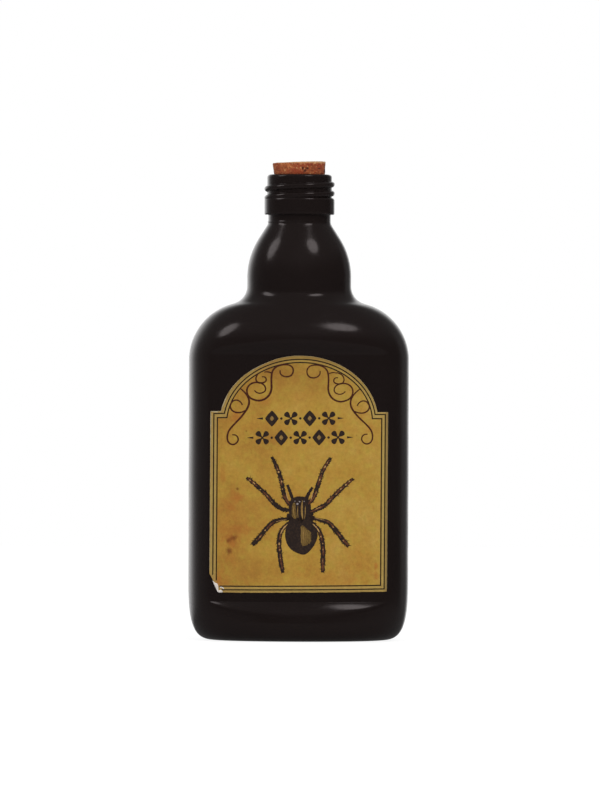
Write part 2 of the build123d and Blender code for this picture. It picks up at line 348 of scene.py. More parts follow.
def front_reach(z):
    """Half depth of the outside at a height, as if it had no sunk panel."""
    start, end, foot_top = FRONT_SLOPE
    if z < BELLY_LOW:
        return HALF_DEPTH - FRONT_HEEL_INSET * (1 - heel_share(z, BELLY_LOW, FRONT_HEEL_POWER))
    if z < BELLY_HIGH:
        return HALF_DEPTH
    slope = math.radians(SHOULDER_SLOPE)
    roll_in = SHOULDER_ROLL_HIGH * math.sin(slope)
    if z < start:
        quick = SHOULDER_ROLL_HIGH * math.cos(slope) - SHOULDER_ROLL_LOW
        slow = 2 * SHOULDER_ROLL_LOW
        share = (-slow + math.sqrt(slow**2 + 4 * quick * (z - BELLY_HIGH))) / (2 * quick)
        return HALF_DEPTH - roll_in * share**2
    if z < end:
        return HALF_DEPTH - roll_in - (z - start) * math.tan(slope)
    return foot_curve(FRONT_FOOT_RADIUS, foot_top, z)


def panel_bow(z, wall=0.0):
    """Radius of the panel's surface about its own upright line, with its ledges below and above."""
    low_start, low_end = PANEL_BOTTOM - wall, BELLY_LOW - wall
    high_start, high_end = PANEL_TOP + wall, BELLY_HIGH + wall
    face = PANEL_RADIUS - wall
    if z < low_end or z > high_end:
        return face + 4 * PANEL_SINK
    if z < low_start:
        rise = low_start - low_end
        roll = (rise**2 + PANEL_SINK**2) / (2 * PANEL_SINK)
        return face + PANEL_SINK - roll + math.sqrt(roll**2 - (z - low_end) ** 2)
    if z > high_start:
        share = (z - high_start) / (high_end - high_start)
        return face + PANEL_SINK * share**2 * (3 - 2 * share)
    return face


def body_ring(z, angles, wall=0.0):
    """Distance of the body's skin from the axis at each angle, at a height, with its two sunk panels."""
    outline = oval_reach(side_reach(z) - wall, front_reach(z) - wall, angles)
    bow = panel_bow(z, wall)
    along = np.abs(np.sin(angles)) * PANEL_AXIS
    panel = -along + np.sqrt(bow**2 - (np.cos(angles) * PANEL_AXIS) ** 2)
    return soft_least(outline, panel, CREASE_ROUND)


def seam_bump(angles, reach):
    """Height of the two upright seams that the halves of the mould leave at the sides."""
    beside = np.abs(np.sin(angles)) * reach
    return SEAM_HEIGHT * np.exp(-((beside / SEAM_WIDTH) ** 2))


def crown_end(bell, crown):
    """Radius where the bell's crown ends, and its height over the crown's start."""
    turn = math.radians(BELL_CROWN_ANGLE)
    return bell - crown * (1 - math.cos(turn)), crown * math.sin(turn)


def neck_profile(wall, neck, top):
    """Radius and height along the bell, its crown and the neck, from the bell's base up."""
    turn = math.radians(BELL_CROWN_ANGLE)
    bell, crown, foot = BELL_RADIUS - wall, BELL_CROWN_RADIUS - wall, NECK_FOOT_RADIUS + wall
    slope_radius, rise = crown_end(bell, crown)
    foot_radius = neck + foot * (1 - math.cos(turn))
    foot_height = CROWN_START + rise + (slope_radius - foot_radius) / math.tan(turn)
    profile = [(bell, z) for z in np.linspace(BELL_BASE, CROWN_START, 6)]
    for share in np.linspace(0, 1, 26)[1:]:
        a = turn * share
        profile.append((bell - crown * (1 - math.cos(a)), CROWN_START + crown * math.sin(a)))
    for share in np.linspace(0, 1, 5)[1:-1]:
        radius = slope_radius + (foot_radius - slope_radius) * share
        profile.append((radius, CROWN_START + rise + (foot_height - CROWN_START - rise) * share))
    end = foot_height + foot * math.sin(turn)
    for share in np.linspace(0, 1, 14):
        a = turn * (1 - share)
        profile.append((neck + foot * (1 - math.cos(a)), end - foot * math.sin(a)))
    profile += [(neck, z) for z in np.linspace(end, top, 14)[1:]]
    return profile


def arc(centre, radius, start, end, steps):
    """Points of an arc in the plane of radius and height, angles in degrees."""
    points = []
    for share in np.linspace(0, 1, steps):
        a = math.radians(start + (end - start) * share)
        points.append((centre[0] + radius * math.cos(a), centre[1] + radius * math.sin(a)))
    return points


def finish_profile():
    """Radius and height from the bead's underside, over the rim and down to the bore."""
    bead_top = BEAD_BOTTOM + BEAD_HEIGHT
    points = arc((NECK_RADIUS + BEAD_FILLET, BEAD_BOTTOM - BEAD_FILLET), BEAD_FILLET, 180, 90, 4)
    low, top = BEAD_BOTTOM_ROUND, BEAD_TOP_ROUND
    points += arc((BEAD_RADIUS - low, BEAD_BOTTOM + low), low, -90, 0, 6)
    points += [(BEAD_RADIUS, z) for z in np.linspace(BEAD_BOTTOM + low, bead_top - top, 8)[1:-1]]
    points += arc((BEAD_RADIUS - top, bead_top - top), top, 0, 82, 12)
    outer = RIM_OUTER_ROUND
    points += [(FINISH_RADIUS, z) for z in np.arange(bead_top + 0.1, RIM - outer, 0.13)]
    points += arc((FINISH_RADIUS - outer, RIM - outer), outer, 0, 90, 9)
    inner = RIM_INNER_ROUND
    points += arc((BORE_RADIUS + inner, RIM - inner), inner, 90, 180, 8)
    return points


def thread_reach(z, angles):
    """Distance of the thread ridge from the axis at a height, zero where there is none."""
    reach = np.zeros_like(angles)
    right = RIM - THREAD_RIGHT_BELOW_RIM
    full = THREAD_TURNS - THREAD_FADE_TURNS
    crest = THREAD_CREST_RADIUS - THREAD_ROUND
    sunk = FINISH_RADIUS - THREAD_ROUND
    for lap in range(-3, 2):
        turns = angles / (2 * math.pi) + lap
        offset = z - (right + THREAD_PITCH * turns)
        fade = np.clip(turns / THREAD_FADE_TURNS, 0, 1)
        middle = crest + (sunk - crest) * fade
        inside = np.maximum(THREAD_ROUND**2 - offset**2, 0)
        ridge = np.where(inside > 0, middle + np.sqrt(inside), 0)
        ridge = np.where((turns >= -full) & (turns <= THREAD_FADE_TURNS), ridge, 0)
        reach = np.maximum(reach, ridge)
    return reach


def around_bottle():
    """Angles around the bottle, closer together at its seams and at the panels' upright creases."""
    crease = math.atan2(oval_depth(HALF_WIDTH, HALF_DEPTH, PANEL_EDGE), PANEL_EDGE)
    marks = [0, math.pi, crease, math.pi - crease, math.pi + crease, 2 * math.pi - crease]
    angles = list(np.linspace(0, 2 * math.pi, 181)[:-1])
    for mark in marks:
        angles += [(mark + step) % (2 * math.pi) for step in np.linspace(-0.03, 0.03, 13)]
    angles = sorted(angles)
    kept = [angles[0]]
    for angle in angles[1:]:
        if angle - kept[-1] > 0.002:
            kept.append(angle)
    return np.array(kept)


def body_heights():
    """Heights of the body's rings, closer together where it curves."""
    heights = list(BELLY_LOW * (1 - np.cos(np.linspace(0, math.pi / 2, 24))))
    heights += list(np.linspace(BELLY_LOW, PANEL_BOTTOM - 0.5, 24)[1:])
    heights += list(np.linspace(PANEL_BOTTOM - 0.5, PANEL_BOTTOM + 0.5, 11)[1:])
    heights += list(np.linspace(PANEL_BOTTOM + 0.5, SHOULDER_START, 36)[1:])
    heights += list(np.linspace(SHOULDER_START, BELL_BASE, 64)[1:])
    return heights


def glass_waves(x, y, z):
    """Slight unevenness of blown glass, a few hundredths of a millimetre over a few centimetres."""
    wave = uneven(x / 21, y / 21, z / 26)
    ripple = uneven(x / 8 + 40, y / 8, z / 9)
    return GLASS_WAVE * wave + GLASS_RIPPLE * ripple


def underside(angles):
    """Reach and height of each ring of the pushed-up underside, out to the edge that the bottle stands on."""
    foot_x, foot_y = side_reach(0) - FOOT_WIDTH, front_reach(0) - FOOT_WIDTH
    dome_x, dome_y = foot_x - PUSH_UP_DRAFT, foot_y - PUSH_UP_DRAFT
    rings = [(oval_reach(dome_x, dome_y, angles) * share, PUSH_UP) for share in (0.02, 0.35, 0.7, 0.97, 1.0)]
    for share in (0.05, 0.5, 0.95, 1.0):
        draft = PUSH_UP_DRAFT * share
        rings.append((oval_reach(dome_x + draft, dome_y + draft, angles), PUSH_UP * (1 - share)))
    return rings + [(body_ring(0, angles), 0)]


def outside(angles):
    """Reach and height of each ring of the body, the bell and the neck, with the ring seam on its left."""
    rings = [(body_ring(z, angles), z) for z in body_heights()[1:]]
    seam = BEAD_BOTTOM - RING_SEAM_DROP
    on_left = (0.5 - 0.5 * np.cos(angles)) ** 1.5
    for radius, z in neck_profile(0, NECK_RADIUS, BEAD_BOTTOM - BEAD_FILLET - 0.05)[1:]:
        mark = RING_SEAM_HEIGHT * math.exp(-(((z - seam) / RING_SEAM_WIDTH) ** 2))
        rings.append((radius + mark * on_left, z))
    return rings


def screw_finish(angles):
    """Reach and height of each ring of the bead, the thread and the rim."""
    rings = []
    for radius, z in finish_profile():
        reach = np.full_like(angles, radius)
        if radius > NECK_RADIUS and BEAD_BOTTOM + BEAD_HEIGHT / 2 < z < RIM - RIM_OUTER_ROUND:
            reach = soft_most(reach, thread_reach(z, angles), THREAD_FOOT_ROUND)
        rings.append((reach, z))
    return rings


def inside(angles):
    """Reach and height of the rings of the bore, the inner wall and the floor, fewer than outside."""
    floor = PUSH_UP + FLOOR
    neck = neck_profile(WALL, BORE_RADIUS, RIM - RIM_INNER_ROUND)[:-1]
    rings = [(np.full_like(angles, radius), z) for radius, z in reversed(neck[::3])]
    rings += [(body_ring(z, angles, WALL), z) for z in reversed(body_heights()[::5]) if z > floor]
    return rings + [(body_ring(floor, angles, WALL) * share, floor) for share in (1.0, 0.6, 0.02)]


def make_bottle(material):
    """Whole bottle as one closed skin, with the mould's seams outside and waves on the body and the neck."""
    angles = around_bottle()
    cosine, sine = np.cos(angles), np.sin(angles)
    rings = []
    for part, seams, waves in (
        (underside(angles), False, False),
        (outside(angles), True, True),
        (screw_finish(angles), True, False),
        (inside(angles), False, False),
    ):
        for reach, z in part:
            lift = seam_bump(angles, reach) if seams else 0.0
            if waves:
                lift = lift + np.array([glass_waves(x, y, z) for x, y in zip(cosine * reach, sine * reach)])
            out = reach + lift
            rings.append(np.column_stack((cosine * out, sine * out, np.full_like(out, z))))
    points, faces = capped_skin(rings, (0, 0, PUSH_UP), (0, 0, PUSH_UP + FLOOR))
    piece = make_piece("bottle_skin", points, faces, "bottle", material, sharp=50)
    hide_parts("bottle")
    return piece


def black_glass():
    """Opaque black glass, blown in a polished iron mould: deep gloss, thinly dulled by dust and handling.

    Dust is finer than the picture shows, so its specks are drawn about a millimetre across.
    """
    material, tree = new_material("black_glass")
    place = add(tree, "TexCoord").outputs["Object"]
    smudges = add(tree, "TexNoise", {"Vector": place, "Scale": fine(16), "Detail": 5.0, "Roughness": 0.6})
    dust = add(tree, "TexNoise", {"Vector": place, "Scale": fine(1.1), "Detail": 2.0})
    dull = add(tree, "Math", {0: smudges, 1: dust}, operation="MULTIPLY")
    rough = add(
        tree, "MapRange",
        {"Value": dull, "From Min": 0.15, "From Max": 0.4, "To Min": 0.13, "To Max": 0.23},
    )
    surface = add(
        tree, "BsdfPrincipled",
        {"Base Color": linear("#1B1514"), "Roughness": rough, "IOR": 1.5, "Specular Tint": linear("#FFF2F2")},
    )
    finish_material(tree, surface)
    return material


# Cork


def cork_profile():
    """Radius, height and share of the head's lean, along the skin from the foot's middle to the top's."""
    spread = math.tan(math.radians(CORK_TAPER))
    seat, seat_height = BORE_RADIUS - CORK_CLEARANCE, RIM - RIM_INNER_ROUND
    foot = seat - (seat_height - CORK_FOOT) * spread - CORK_FOOT_ROUND
    profile = [(foot * share, CORK_FOOT, 0.0) for share in (0.05, 0.3, 0.55, 0.8)]
    heights = [CORK_FOOT + up for up in (0, 0.1, 0.25)]
    heights += list(np.linspace(CORK_FOOT + 0.6, seat_height, 60))
    heights += list(np.linspace(seat_height, CORK_TOP - CORK_EDGE, 26)[1:])
    for z in heights:
        radius = seat + (z - seat_height) * spread - max(0.0, CORK_FOOT_ROUND - (z - CORK_FOOT))
        profile.append((radius, z, max(0.0, z - seat_height) / (CORK_TOP - seat_height)))
    head = seat + (CORK_TOP - seat_height) * spread
    profile += [(head - inset, CORK_TOP - drop, 1.0) for inset, drop in CORK_WORN_EDGE]
    shares = (0.93, 0.85, 0.75, 0.65, 0.55, 0.45, 0.35, 0.25, 0.15, 0.05)
    return profile + [(head * share, CORK_TOP, 1.0) for share in shares]


def tear_cork(point):
    """Moves a point of the cork's skin by torn grain and open pores, or in where the neck grips it."""
    x, y, z = point
    pit = cork_pit(x, y, z)
    reach = math.hypot(x, y)
    free = z - CORK_FREE_FROM
    # Fine grain under a millimetre across, and torn grain of about 2.6 mm
    grain = 0.07 * uneven(x / 0.9, y / 0.9, z / 0.9) + 0.09 * uneven(x / 2.6, y / 2.6, z / 2.6 + 9)
    if reach > 0.5:
        push = grain * min(1.0, max(0.0, free / 0.5)) - CORK_PIT_DEPTH * pit
        push -= 0 if free > 0 else CORK_PRESSED_IN
        point[0] += push * x / reach
        point[1] += push * y / reach
    if z > CORK_TOP - 1.2:
        point[2] += grain * 0.8 - 0.3 * pit


def make_cork(material):
    """Tapered stopper with worn edges, its head leaning a little to the left and cut off aslant."""
    angles = np.linspace(0, 2 * math.pi, 161)[:-1]
    tilt = math.tan(math.radians(CORK_TOP_TILT))
    rings = []
    for radius, height, head in cork_profile():
        x = np.cos(angles) * radius - CORK_HEAD_LEAN * head
        points = np.column_stack((x, np.sin(angles) * radius, height + x * tilt * head))
        for point in points:
            tear_cork(point)
        rings.append(points)
    points, faces = capped_skin(rings, (0, 0, CORK_FOOT), (-CORK_HEAD_LEAN, 0, CORK_TOP))
    piece = make_piece("cork", points, faces, "cork", material)
    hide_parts("cork_stopper")
    return piece


# Open pores that show in the cork's head: angle around it in degrees, height over the rim, width, height
CORK_PITS = (
    (-83, 2.2, 0.6, 1.5), (-78, 1.4, 0.7, 1.4), (-73, 2.3, 0.5, 0.8), (-16, 3.1, 0.9, 0.8),
    (-12, 1.3, 1.0, 1.6), (-122, 2.5, 0.2, 0.25), (-40, 2.3, 0.5, 0.4), (140, 2.5, 1.2, 1.6),
    (75, 1.6, 0.8, 1.4),
)


def cork_pit(x, y, z):
    """Depth, from 0 to 1, of the open pores at a place on the cork."""
    depth = 0.0
    for angle, height, width, tall in CORK_PITS:
        a = math.radians(angle)
        beside = -x * math.sin(a) + y * math.cos(a)
        before = x * math.cos(a) + y * math.sin(a)
        if before > 0:
            far = (beside / (width / 2)) ** 2 + ((z - RIM - height) / (tall / 2)) ** 2
            depth = max(depth, 1 - far)
    return max(0.0, depth)


def set_ramp(ramp, stops):
    """Sets a colour ramp's stops from places and colours, each a hex colour or a grey's strength."""
    elements = ramp.color_ramp.elements
    while len(elements) < len(stops):
        elements.new(0.5)
    for element, (place, tone) in zip(elements, stops):
        element.position = place
        element.color = linear(tone) if isinstance(tone, str) else (tone, tone, tone, 1)


def lay_pattern(tree, tone, layers):
    """Lays colours over a tone, each by a pattern: the range of its values and the share at either end."""
    for pattern, start, end, first, last, colour in layers:
        share = add(
            tree, "MapRange",
            {"Value": pattern, "From Min": start, "From Max": end, "To Min": first, "To Max": last},
        )
        tone = add(tree, "Mix", {"Factor": share, "A": tone, "B": linear(colour)}, data_type="RGBA")
    return tone


def lay_spot(tree, tone, place, middle, half_size, ragged, fade, share, colour, interpolation="LINEAR"):
    """Lays a ragged spot of a colour over a tone. Its middle and half size are in millimetres.

    ragged holds a noise and how far it moves the spot's edge, and fade the two distances, in half sizes,
    between which the spot ends.
    """
    middle, half_size = [[length * MM for length in lengths] for lengths in (middle, half_size)]
    offset = add(tree, "VectorMath", {0: place, 1: middle}, operation="SUBTRACT")
    sized = add(tree, "VectorMath", {0: offset, 1: half_size}, operation="DIVIDE")
    far = add(tree, "VectorMath", {0: sized}, operation="LENGTH")
    edge = add(tree, "Math", {0: ragged[0], 1: ragged[1], 2: far}, operation="MULTIPLY_ADD")
    soak = add(
        tree, "MapRange",
        {"Value": edge, "From Min": fade[0], "From Max": fade[1], "To Min": share, "To Max": 0.0},
        interpolation_type=interpolation,
    )
    return add(tree, "Mix", {"Factor": soak, "A": tone, "B": linear(colour)}, data_type="RGBA")


def natural_cork():
    """Natural cork, punched from bark and tumbled: matte and orange brown, with dark pores and a worn edge.

    The red clouds are its growth rings and the pale flecks are woody bark. The upper edge is paler where
    rubbed and painted with a highlight where it faces up, and the left side is painted paler as lamp light.
    """
    material, tree = new_material("natural_cork")
    place = add(tree, "TexCoord").outputs["Object"]
    grain = add(tree, "Mapping", {"Vector": place, "Scale": (1.0, 1.0, 1.25)})
    blotch = add(tree, "TexNoise", {"Vector": grain, "Scale": fine(2.6), "Detail": 7.0, "Roughness": 0.72})
    split = add(tree, "SeparateXYZ", {"Vector": place})
    # Painted light: the cork's colour is made paler towards its left, where the left lamp falls on it
    blotch_lit_from_left = add(
        tree, "Math",
        {0: split.outputs["X"], 1: -0.05 / (BORE_RADIUS * MM), 2: blotch}, operation="MULTIPLY_ADD",
    )
    colour = add(tree, "ValToRGB", {"Fac": blotch_lit_from_left})
    set_ramp(colour, (
        (0.34, "#6A2C14"), (0.43, "#8E4422"), (0.51, "#A3552C"), (0.6, "#B5693A"), (0.72, "#CB9060"),
    ))
    rings = add(tree, "TexNoise", {"Vector": grain, "Scale": fine(4.5), "Detail": 2.0})
    pores = add(tree, "TexVoronoi", {"Vector": place, "Scale": fine(1.0), "Randomness": 1.0})
    flecks = add(tree, "TexNoise", {"Vector": place, "Scale": fine(0.9), "Detail": 2.0})
    tone = lay_pattern(tree, colour, (
        (rings, 0.46, 0.62, 0.0, 0.7, "#8E341A"),
        (pores, 0.05, 0.35, 0.75, 0.0, "#552412"),
        (flecks, 0.6, 0.72, 0.0, 0.65, "#D3A26A"),
    ))

    # Paler upper edge and top: partly real wear, partly a painted highlight where the edge faces up to the
    # lamps
    ragged = add(tree, "Math", {0: flecks, 1: 0.9 * MM, 2: split.outputs["Z"]}, operation="MULTIPLY_ADD")
    worn = add(
        tree, "MapRange",
        {"Value": ragged, "From Min": (CORK_TOP - 0.25) * MM, "From Max": (CORK_TOP + 0.25) * MM,
         "To Min": 0.0, "To Max": 0.75},
    )
    flat = add(tree, "VectorMath", {0: place, 1: (1.0, 1.0, 0.0)}, operation="MULTIPLY")
    out = add(tree, "VectorMath", {0: flat}, operation="LENGTH")
    near_edge = add(
        tree, "MapRange",
        {"Value": out, "From Min": (BORE_RADIUS - 1.6) * MM, "From Max": (BORE_RADIUS - 0.2) * MM,
         "To Min": 0.3, "To Max": 1.0},
    )
    worn_and_lit_rim = add(tree, "Math", {0: worn, 1: near_edge}, operation="MULTIPLY")
    tone = add(tree, "Mix", {"Factor": worn_and_lit_rim, "A": tone, "B": linear("#CDA173")}, data_type="RGBA")

    pit_circle = BORE_RADIUS + 0.25
    pit_reach = 1.3
    for degrees, height, width, tall in CORK_PITS:
        cosine, sine = math.cos(math.radians(degrees)), math.sin(math.radians(degrees))
        middle = (pit_circle * cosine, pit_circle * sine, RIM + height)
        half_size = (
            0.5 * width * abs(sine) + pit_reach * abs(cosine),
            0.5 * width * abs(cosine) + pit_reach * abs(sine),
            0.5 * tall,
        )
        tone = lay_spot(tree, tone, place, middle, half_size, (flecks, 1.2), (1.1, 1.9), 0.85, "#3A1C12")

    bump = add(tree, "Bump", {"Height": blotch, "Strength": 0.5, "Distance": 0.4 * MM})
    surface = add(tree, "BsdfPrincipled", {"Base Color": tone, "Roughness": 0.85, "Normal": bump})
    finish_material(tree, surface)
    return material


# Label


def panel_front(x):
    """Y of the front panel's surface at a distance from its middle, its upright crease rounded."""
    panel = math.sqrt(PANEL_RADIUS**2 - x**2) - PANEL_AXIS
    outline = oval_depth(HALF_WIDTH, HALF_DEPTH, x)
    return -float(soft_least(np.array(outline), np.array(panel), CREASE_ROUND))


def on_label(u, v, lift):
    """Place of a point of the label's drawing: u to the right of its middle, v above its foot."""
    x = u + LABEL_SHIFT + (v - LABEL_HEIGHT / 2) * math.tan(math.radians(LABEL_LEAN))
    z = LABEL_BOTTOM + v + u * math.tan(math.radians(LABEL_SLANT))
    return (x, panel_front(x) - lift, z)


# Height of the paper's face over the panel, and of its ears and its arch's centre over the label's foot
LABEL_FACE = LABEL_LIFT + LABEL_THICKNESS
EAR = LABEL_HEIGHT - LABEL_ARCH_OVER_EARS
ARCH_CENTRE = LABEL_HEIGHT - LABEL_ARCH_HALF_HEIGHT

# The sheet was cut out by hand: its right ear is lower, and its arch is drawn in at each side and flattened
# over the left shoulder. The printed rules only share the lower ear and a narrower arch.
RIGHT_EAR_DROP = 0.7
ARCH_TRIM = {-1: 0.15, 1: 0.45}
ARCH_FLAT = 0.42
ARCH_FLAT_PLACE = -16.5
ARCH_FLAT_REACH = 5.5
RULE_TRIM = 0.2


def half_arch(hand, inset, trim):
    """Half width of the arch on one side, its ear's height, and the angle and distance where they meet."""
    across = LABEL_ARCH_HALF_WIDTH - trim - inset["arch"]
    ear = EAR - inset["ear"] - (RIGHT_EAR_DROP if hand > 0 else 0)
    start = math.asin((ear - ARCH_CENTRE) / (LABEL_ARCH_HALF_HEIGHT - inset["arch"]))
    return across, ear, start, across * math.cos(start)


def arch_flat(u):
    """How much the hand cut lowers the arch there."""
    return ARCH_FLAT * math.exp(-(((u - ARCH_FLAT_PLACE) / ARCH_FLAT_REACH) ** 2))


NO_INSET = {"side": 0.0, "foot": 0.0, "ear": 0.0, "arch": 0.0}
# How far from the label's middle the arch ends on each side
ARCH_FOOT = {hand: half_arch(hand, NO_INSET, ARCH_TRIM[hand])[3] for hand in (-1, 1)}


def label_top(u):
    """Upper edge of the label: an ear at each side, and the hand-cut arch between them."""
    hand = 1 if u > 0 else -1
    across, ear, _, foot = half_arch(hand, NO_INSET, ARCH_TRIM[hand])
    if abs(u) >= foot:
        return ear
    return ARCH_CENTRE + LABEL_ARCH_HALF_HEIGHT * math.sqrt(1 - (u / across) ** 2) - arch_flat(u)


def label_foot(u):
    """Lower edge of the label, its lower left corner torn off along a slant."""
    lost = -LABEL_HALF_WIDTH + CORNER_LOSS_WIDTH - u
    return max(0.0, lost) * CORNER_LOSS_HEIGHT / CORNER_LOSS_WIDTH


def frayed(place, amount):
    """Small unevenness of a cut paper edge."""
    return amount * (uneven(place / 3.1, 7.7, 0) + 0.6 * uneven(place, 1.3, 0))


# Width over which the margin's paler tone fades in at the inner rule
MARGIN_FADE = 0.8


def margin(u, v):
    """How far a place lies in the label's margin outside its rules, from 0 to 1."""
    inner = BORDER[1]
    across, ear = half_arch(1 if u > 0 else -1, inner, RULE_TRIM)[:2]
    square = min(LABEL_HALF_WIDTH - inner["side"] - abs(u), ear - v, v - inner["foot"])
    rise = LABEL_ARCH_HALF_HEIGHT - inner["arch"]
    arch = (1 - math.hypot(u / across, (v - ARCH_CENTRE) / rise)) * rise
    inside = max(square, min(arch, v - ARCH_CENTRE))
    return min(1.0, max(0.0, 0.5 - inside / MARGIN_FADE))


def soiling(u, v):
    """How far the label's outermost edge is soiled there: most on the right and along the arch."""
    rule = BORDER[0]
    side = (u - LABEL_HALF_WIDTH + rule["side"]) / rule["side"]
    across, rise = LABEL_ARCH_HALF_WIDTH - rule["arch"], LABEL_ARCH_HALF_HEIGHT - rule["arch"]
    arch = (math.hypot(u / across, (v - ARCH_CENTRE) / rise) - 1) * rise / rule["arch"] if v > EAR else 0
    foot = (rule["foot"] - v) / rule["foot"]
    return min(1.0, max(0.0, 0.65 * side + 0.2 * (side > 0), 0.55 * arch, 0.25 * foot))


# Width at each foot of the arch where its edge is steep, so that the sheet's columns lie closer together
ARCH_STEEP = 3.0
SHEET_ROWS = 150
# How uneven the cut is at the top and the foot, and at the sides, and how far the sheet cockles
CUT_FRAY = 0.09
SIDE_FRAY = 0.1
COCKLE = 0.012


def make_label(material):
    """Sheet of paper with a thickness, bowed over the panel."""
    left, right = -ARCH_FOOT[-1], ARCH_FOOT[1]
    stops = (-LABEL_HALF_WIDTH, left, left + ARCH_STEEP, right - ARCH_STEEP, right, LABEL_HALF_WIDTH)
    columns = set()
    for low, high, count in zip(stops, stops[1:], (14, 22, 120, 22, 14)):
        columns |= set(np.linspace(low, high, count))
    columns = sorted(columns)
    rows = SHEET_ROWS
    front, back, margins, rims = [], [], [], []
    for u in columns:
        low = label_foot(u) + frayed(u, CUT_FRAY)
        high = label_top(u) + frayed(u + 90, CUT_FRAY)
        for share in np.linspace(0, 1, rows):
            v = low + (high - low) * share
            side = u
            if abs(u) == LABEL_HALF_WIDTH:
                side += frayed(v + 200, SIDE_FRAY)
            cockle = COCKLE * uneven(side / 9, v / 9, 3.0)
            front.append(on_label(side, v, LABEL_FACE + cockle))
            back.append(on_label(side, v, LABEL_LIFT))
            margins.append(margin(side, v))
            rims.append(soiling(side, v))
    points = front + back
    count = len(columns)
    size = count * rows
    faces = []
    for n in range(count - 1):
        for m in range(rows - 1):
            a, b = n * rows + m, (n + 1) * rows + m
            faces.append((a, b, b + 1, a + 1))
            faces.append((size + a, size + a + 1, size + b + 1, size + b))
    edge = [n * rows for n in range(count)]
    edge += [(count - 1) * rows + m for m in range(1, rows)]
    edge += [n * rows + rows - 1 for n in range(count - 2, -1, -1)]
    edge += list(range(rows - 2, 0, -1))
    for n, a in enumerate(edge):
        b = edge[(n + 1) % len(edge)]
        faces.append((a, size + a, size + b, b))
    piece = make_piece("label_sheet", points, faces, "bottle", material, sharp=40)
    for name, shares in (("margin", margins), ("rim", rims)):
        piece.data.attributes.new(name, "FLOAT", "POINT").data.foreach_set("value", shares + shares)
    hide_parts("label")
    return piece


# Stains on the paper: u, v, width, height in millimetres, strength, and 1 where it is a dark spot
STAINS = (
    (-25.1, 38.1, 5.6, 4.6, 0.75, 0), (-27.4, 34.4, 4.0, 3.4, 0.6, 0), (-24.6, 41.7, 1.3, 1.2, 0.85, 1),
    (-27.0, 20.6, 6.8, 6.6, 0.75, 0), (-22.8, 26.0, 9.0, 5.0, 0.5, 0), (-30.4, 25.6, 3.4, 4.0, 0.5, 0),
    (-25.8, 22.0, 2.9, 2.7, 1.0, 1), (-28.2, 20.9, 2.4, 2.0, 0.95, 1), (-28.0, 16.8, 2.5, 3.0, 0.95, 1),
    (-27.5, 13.0, 4.6, 4.0, 0.4, 0), (-31.5, 6.0, 3.6, 5.0, 0.6, 0), (31.3, 10.4, 1.8, 3.0, 0.75, 0),
    (31.4, 6.2, 2.2, 4.0, 0.65, 0), (-25.4, 70.6, 5.6, 4.6, 0.75, 0), (-20.6, 66.5, 6.0, 3.6, 0.4, 0),
    (-14.0, 77.0, 6.0, 4.0, 0.4, 0), (2.0, 79.0, 11.0, 5.0, 0.25, 0), (24.5, 72.0, 5.0, 6.0, 0.35, 0),
    (28.6, 66.0, 4.0, 4.0, 0.35, 0), (-21.2, 64.8, 0.9, 0.8, 0.6, 1),
    (-31.0, 4.0, 9.0, 6.0, 0.5, 0), (12.0, 5.0, 30.0, 9.0, 0.3, 0), (24.0, 12.0, 14.0, 14.0, 0.25, 0),
    (-28.0, 28.0, 14.0, 26.0, 0.36, 0), (-30.5, 47.0, 3.0, 8.0, 0.4, 0), (-16.0, 44.5, 1.0, 0.8, 0.35, 1),
    (23.0, 63.0, 0.7, 0.6, 0.5, 1), (-11.0, 57.5, 0.6, 0.6, 0.4, 1), (30.0, 34.0, 1.2, 2.0, 0.4, 0),
)

# Height over the label's foot above which the paper is greyed by dust and by painted shade under the shoulder
DUST_AND_SHADE_FROM = 72.0


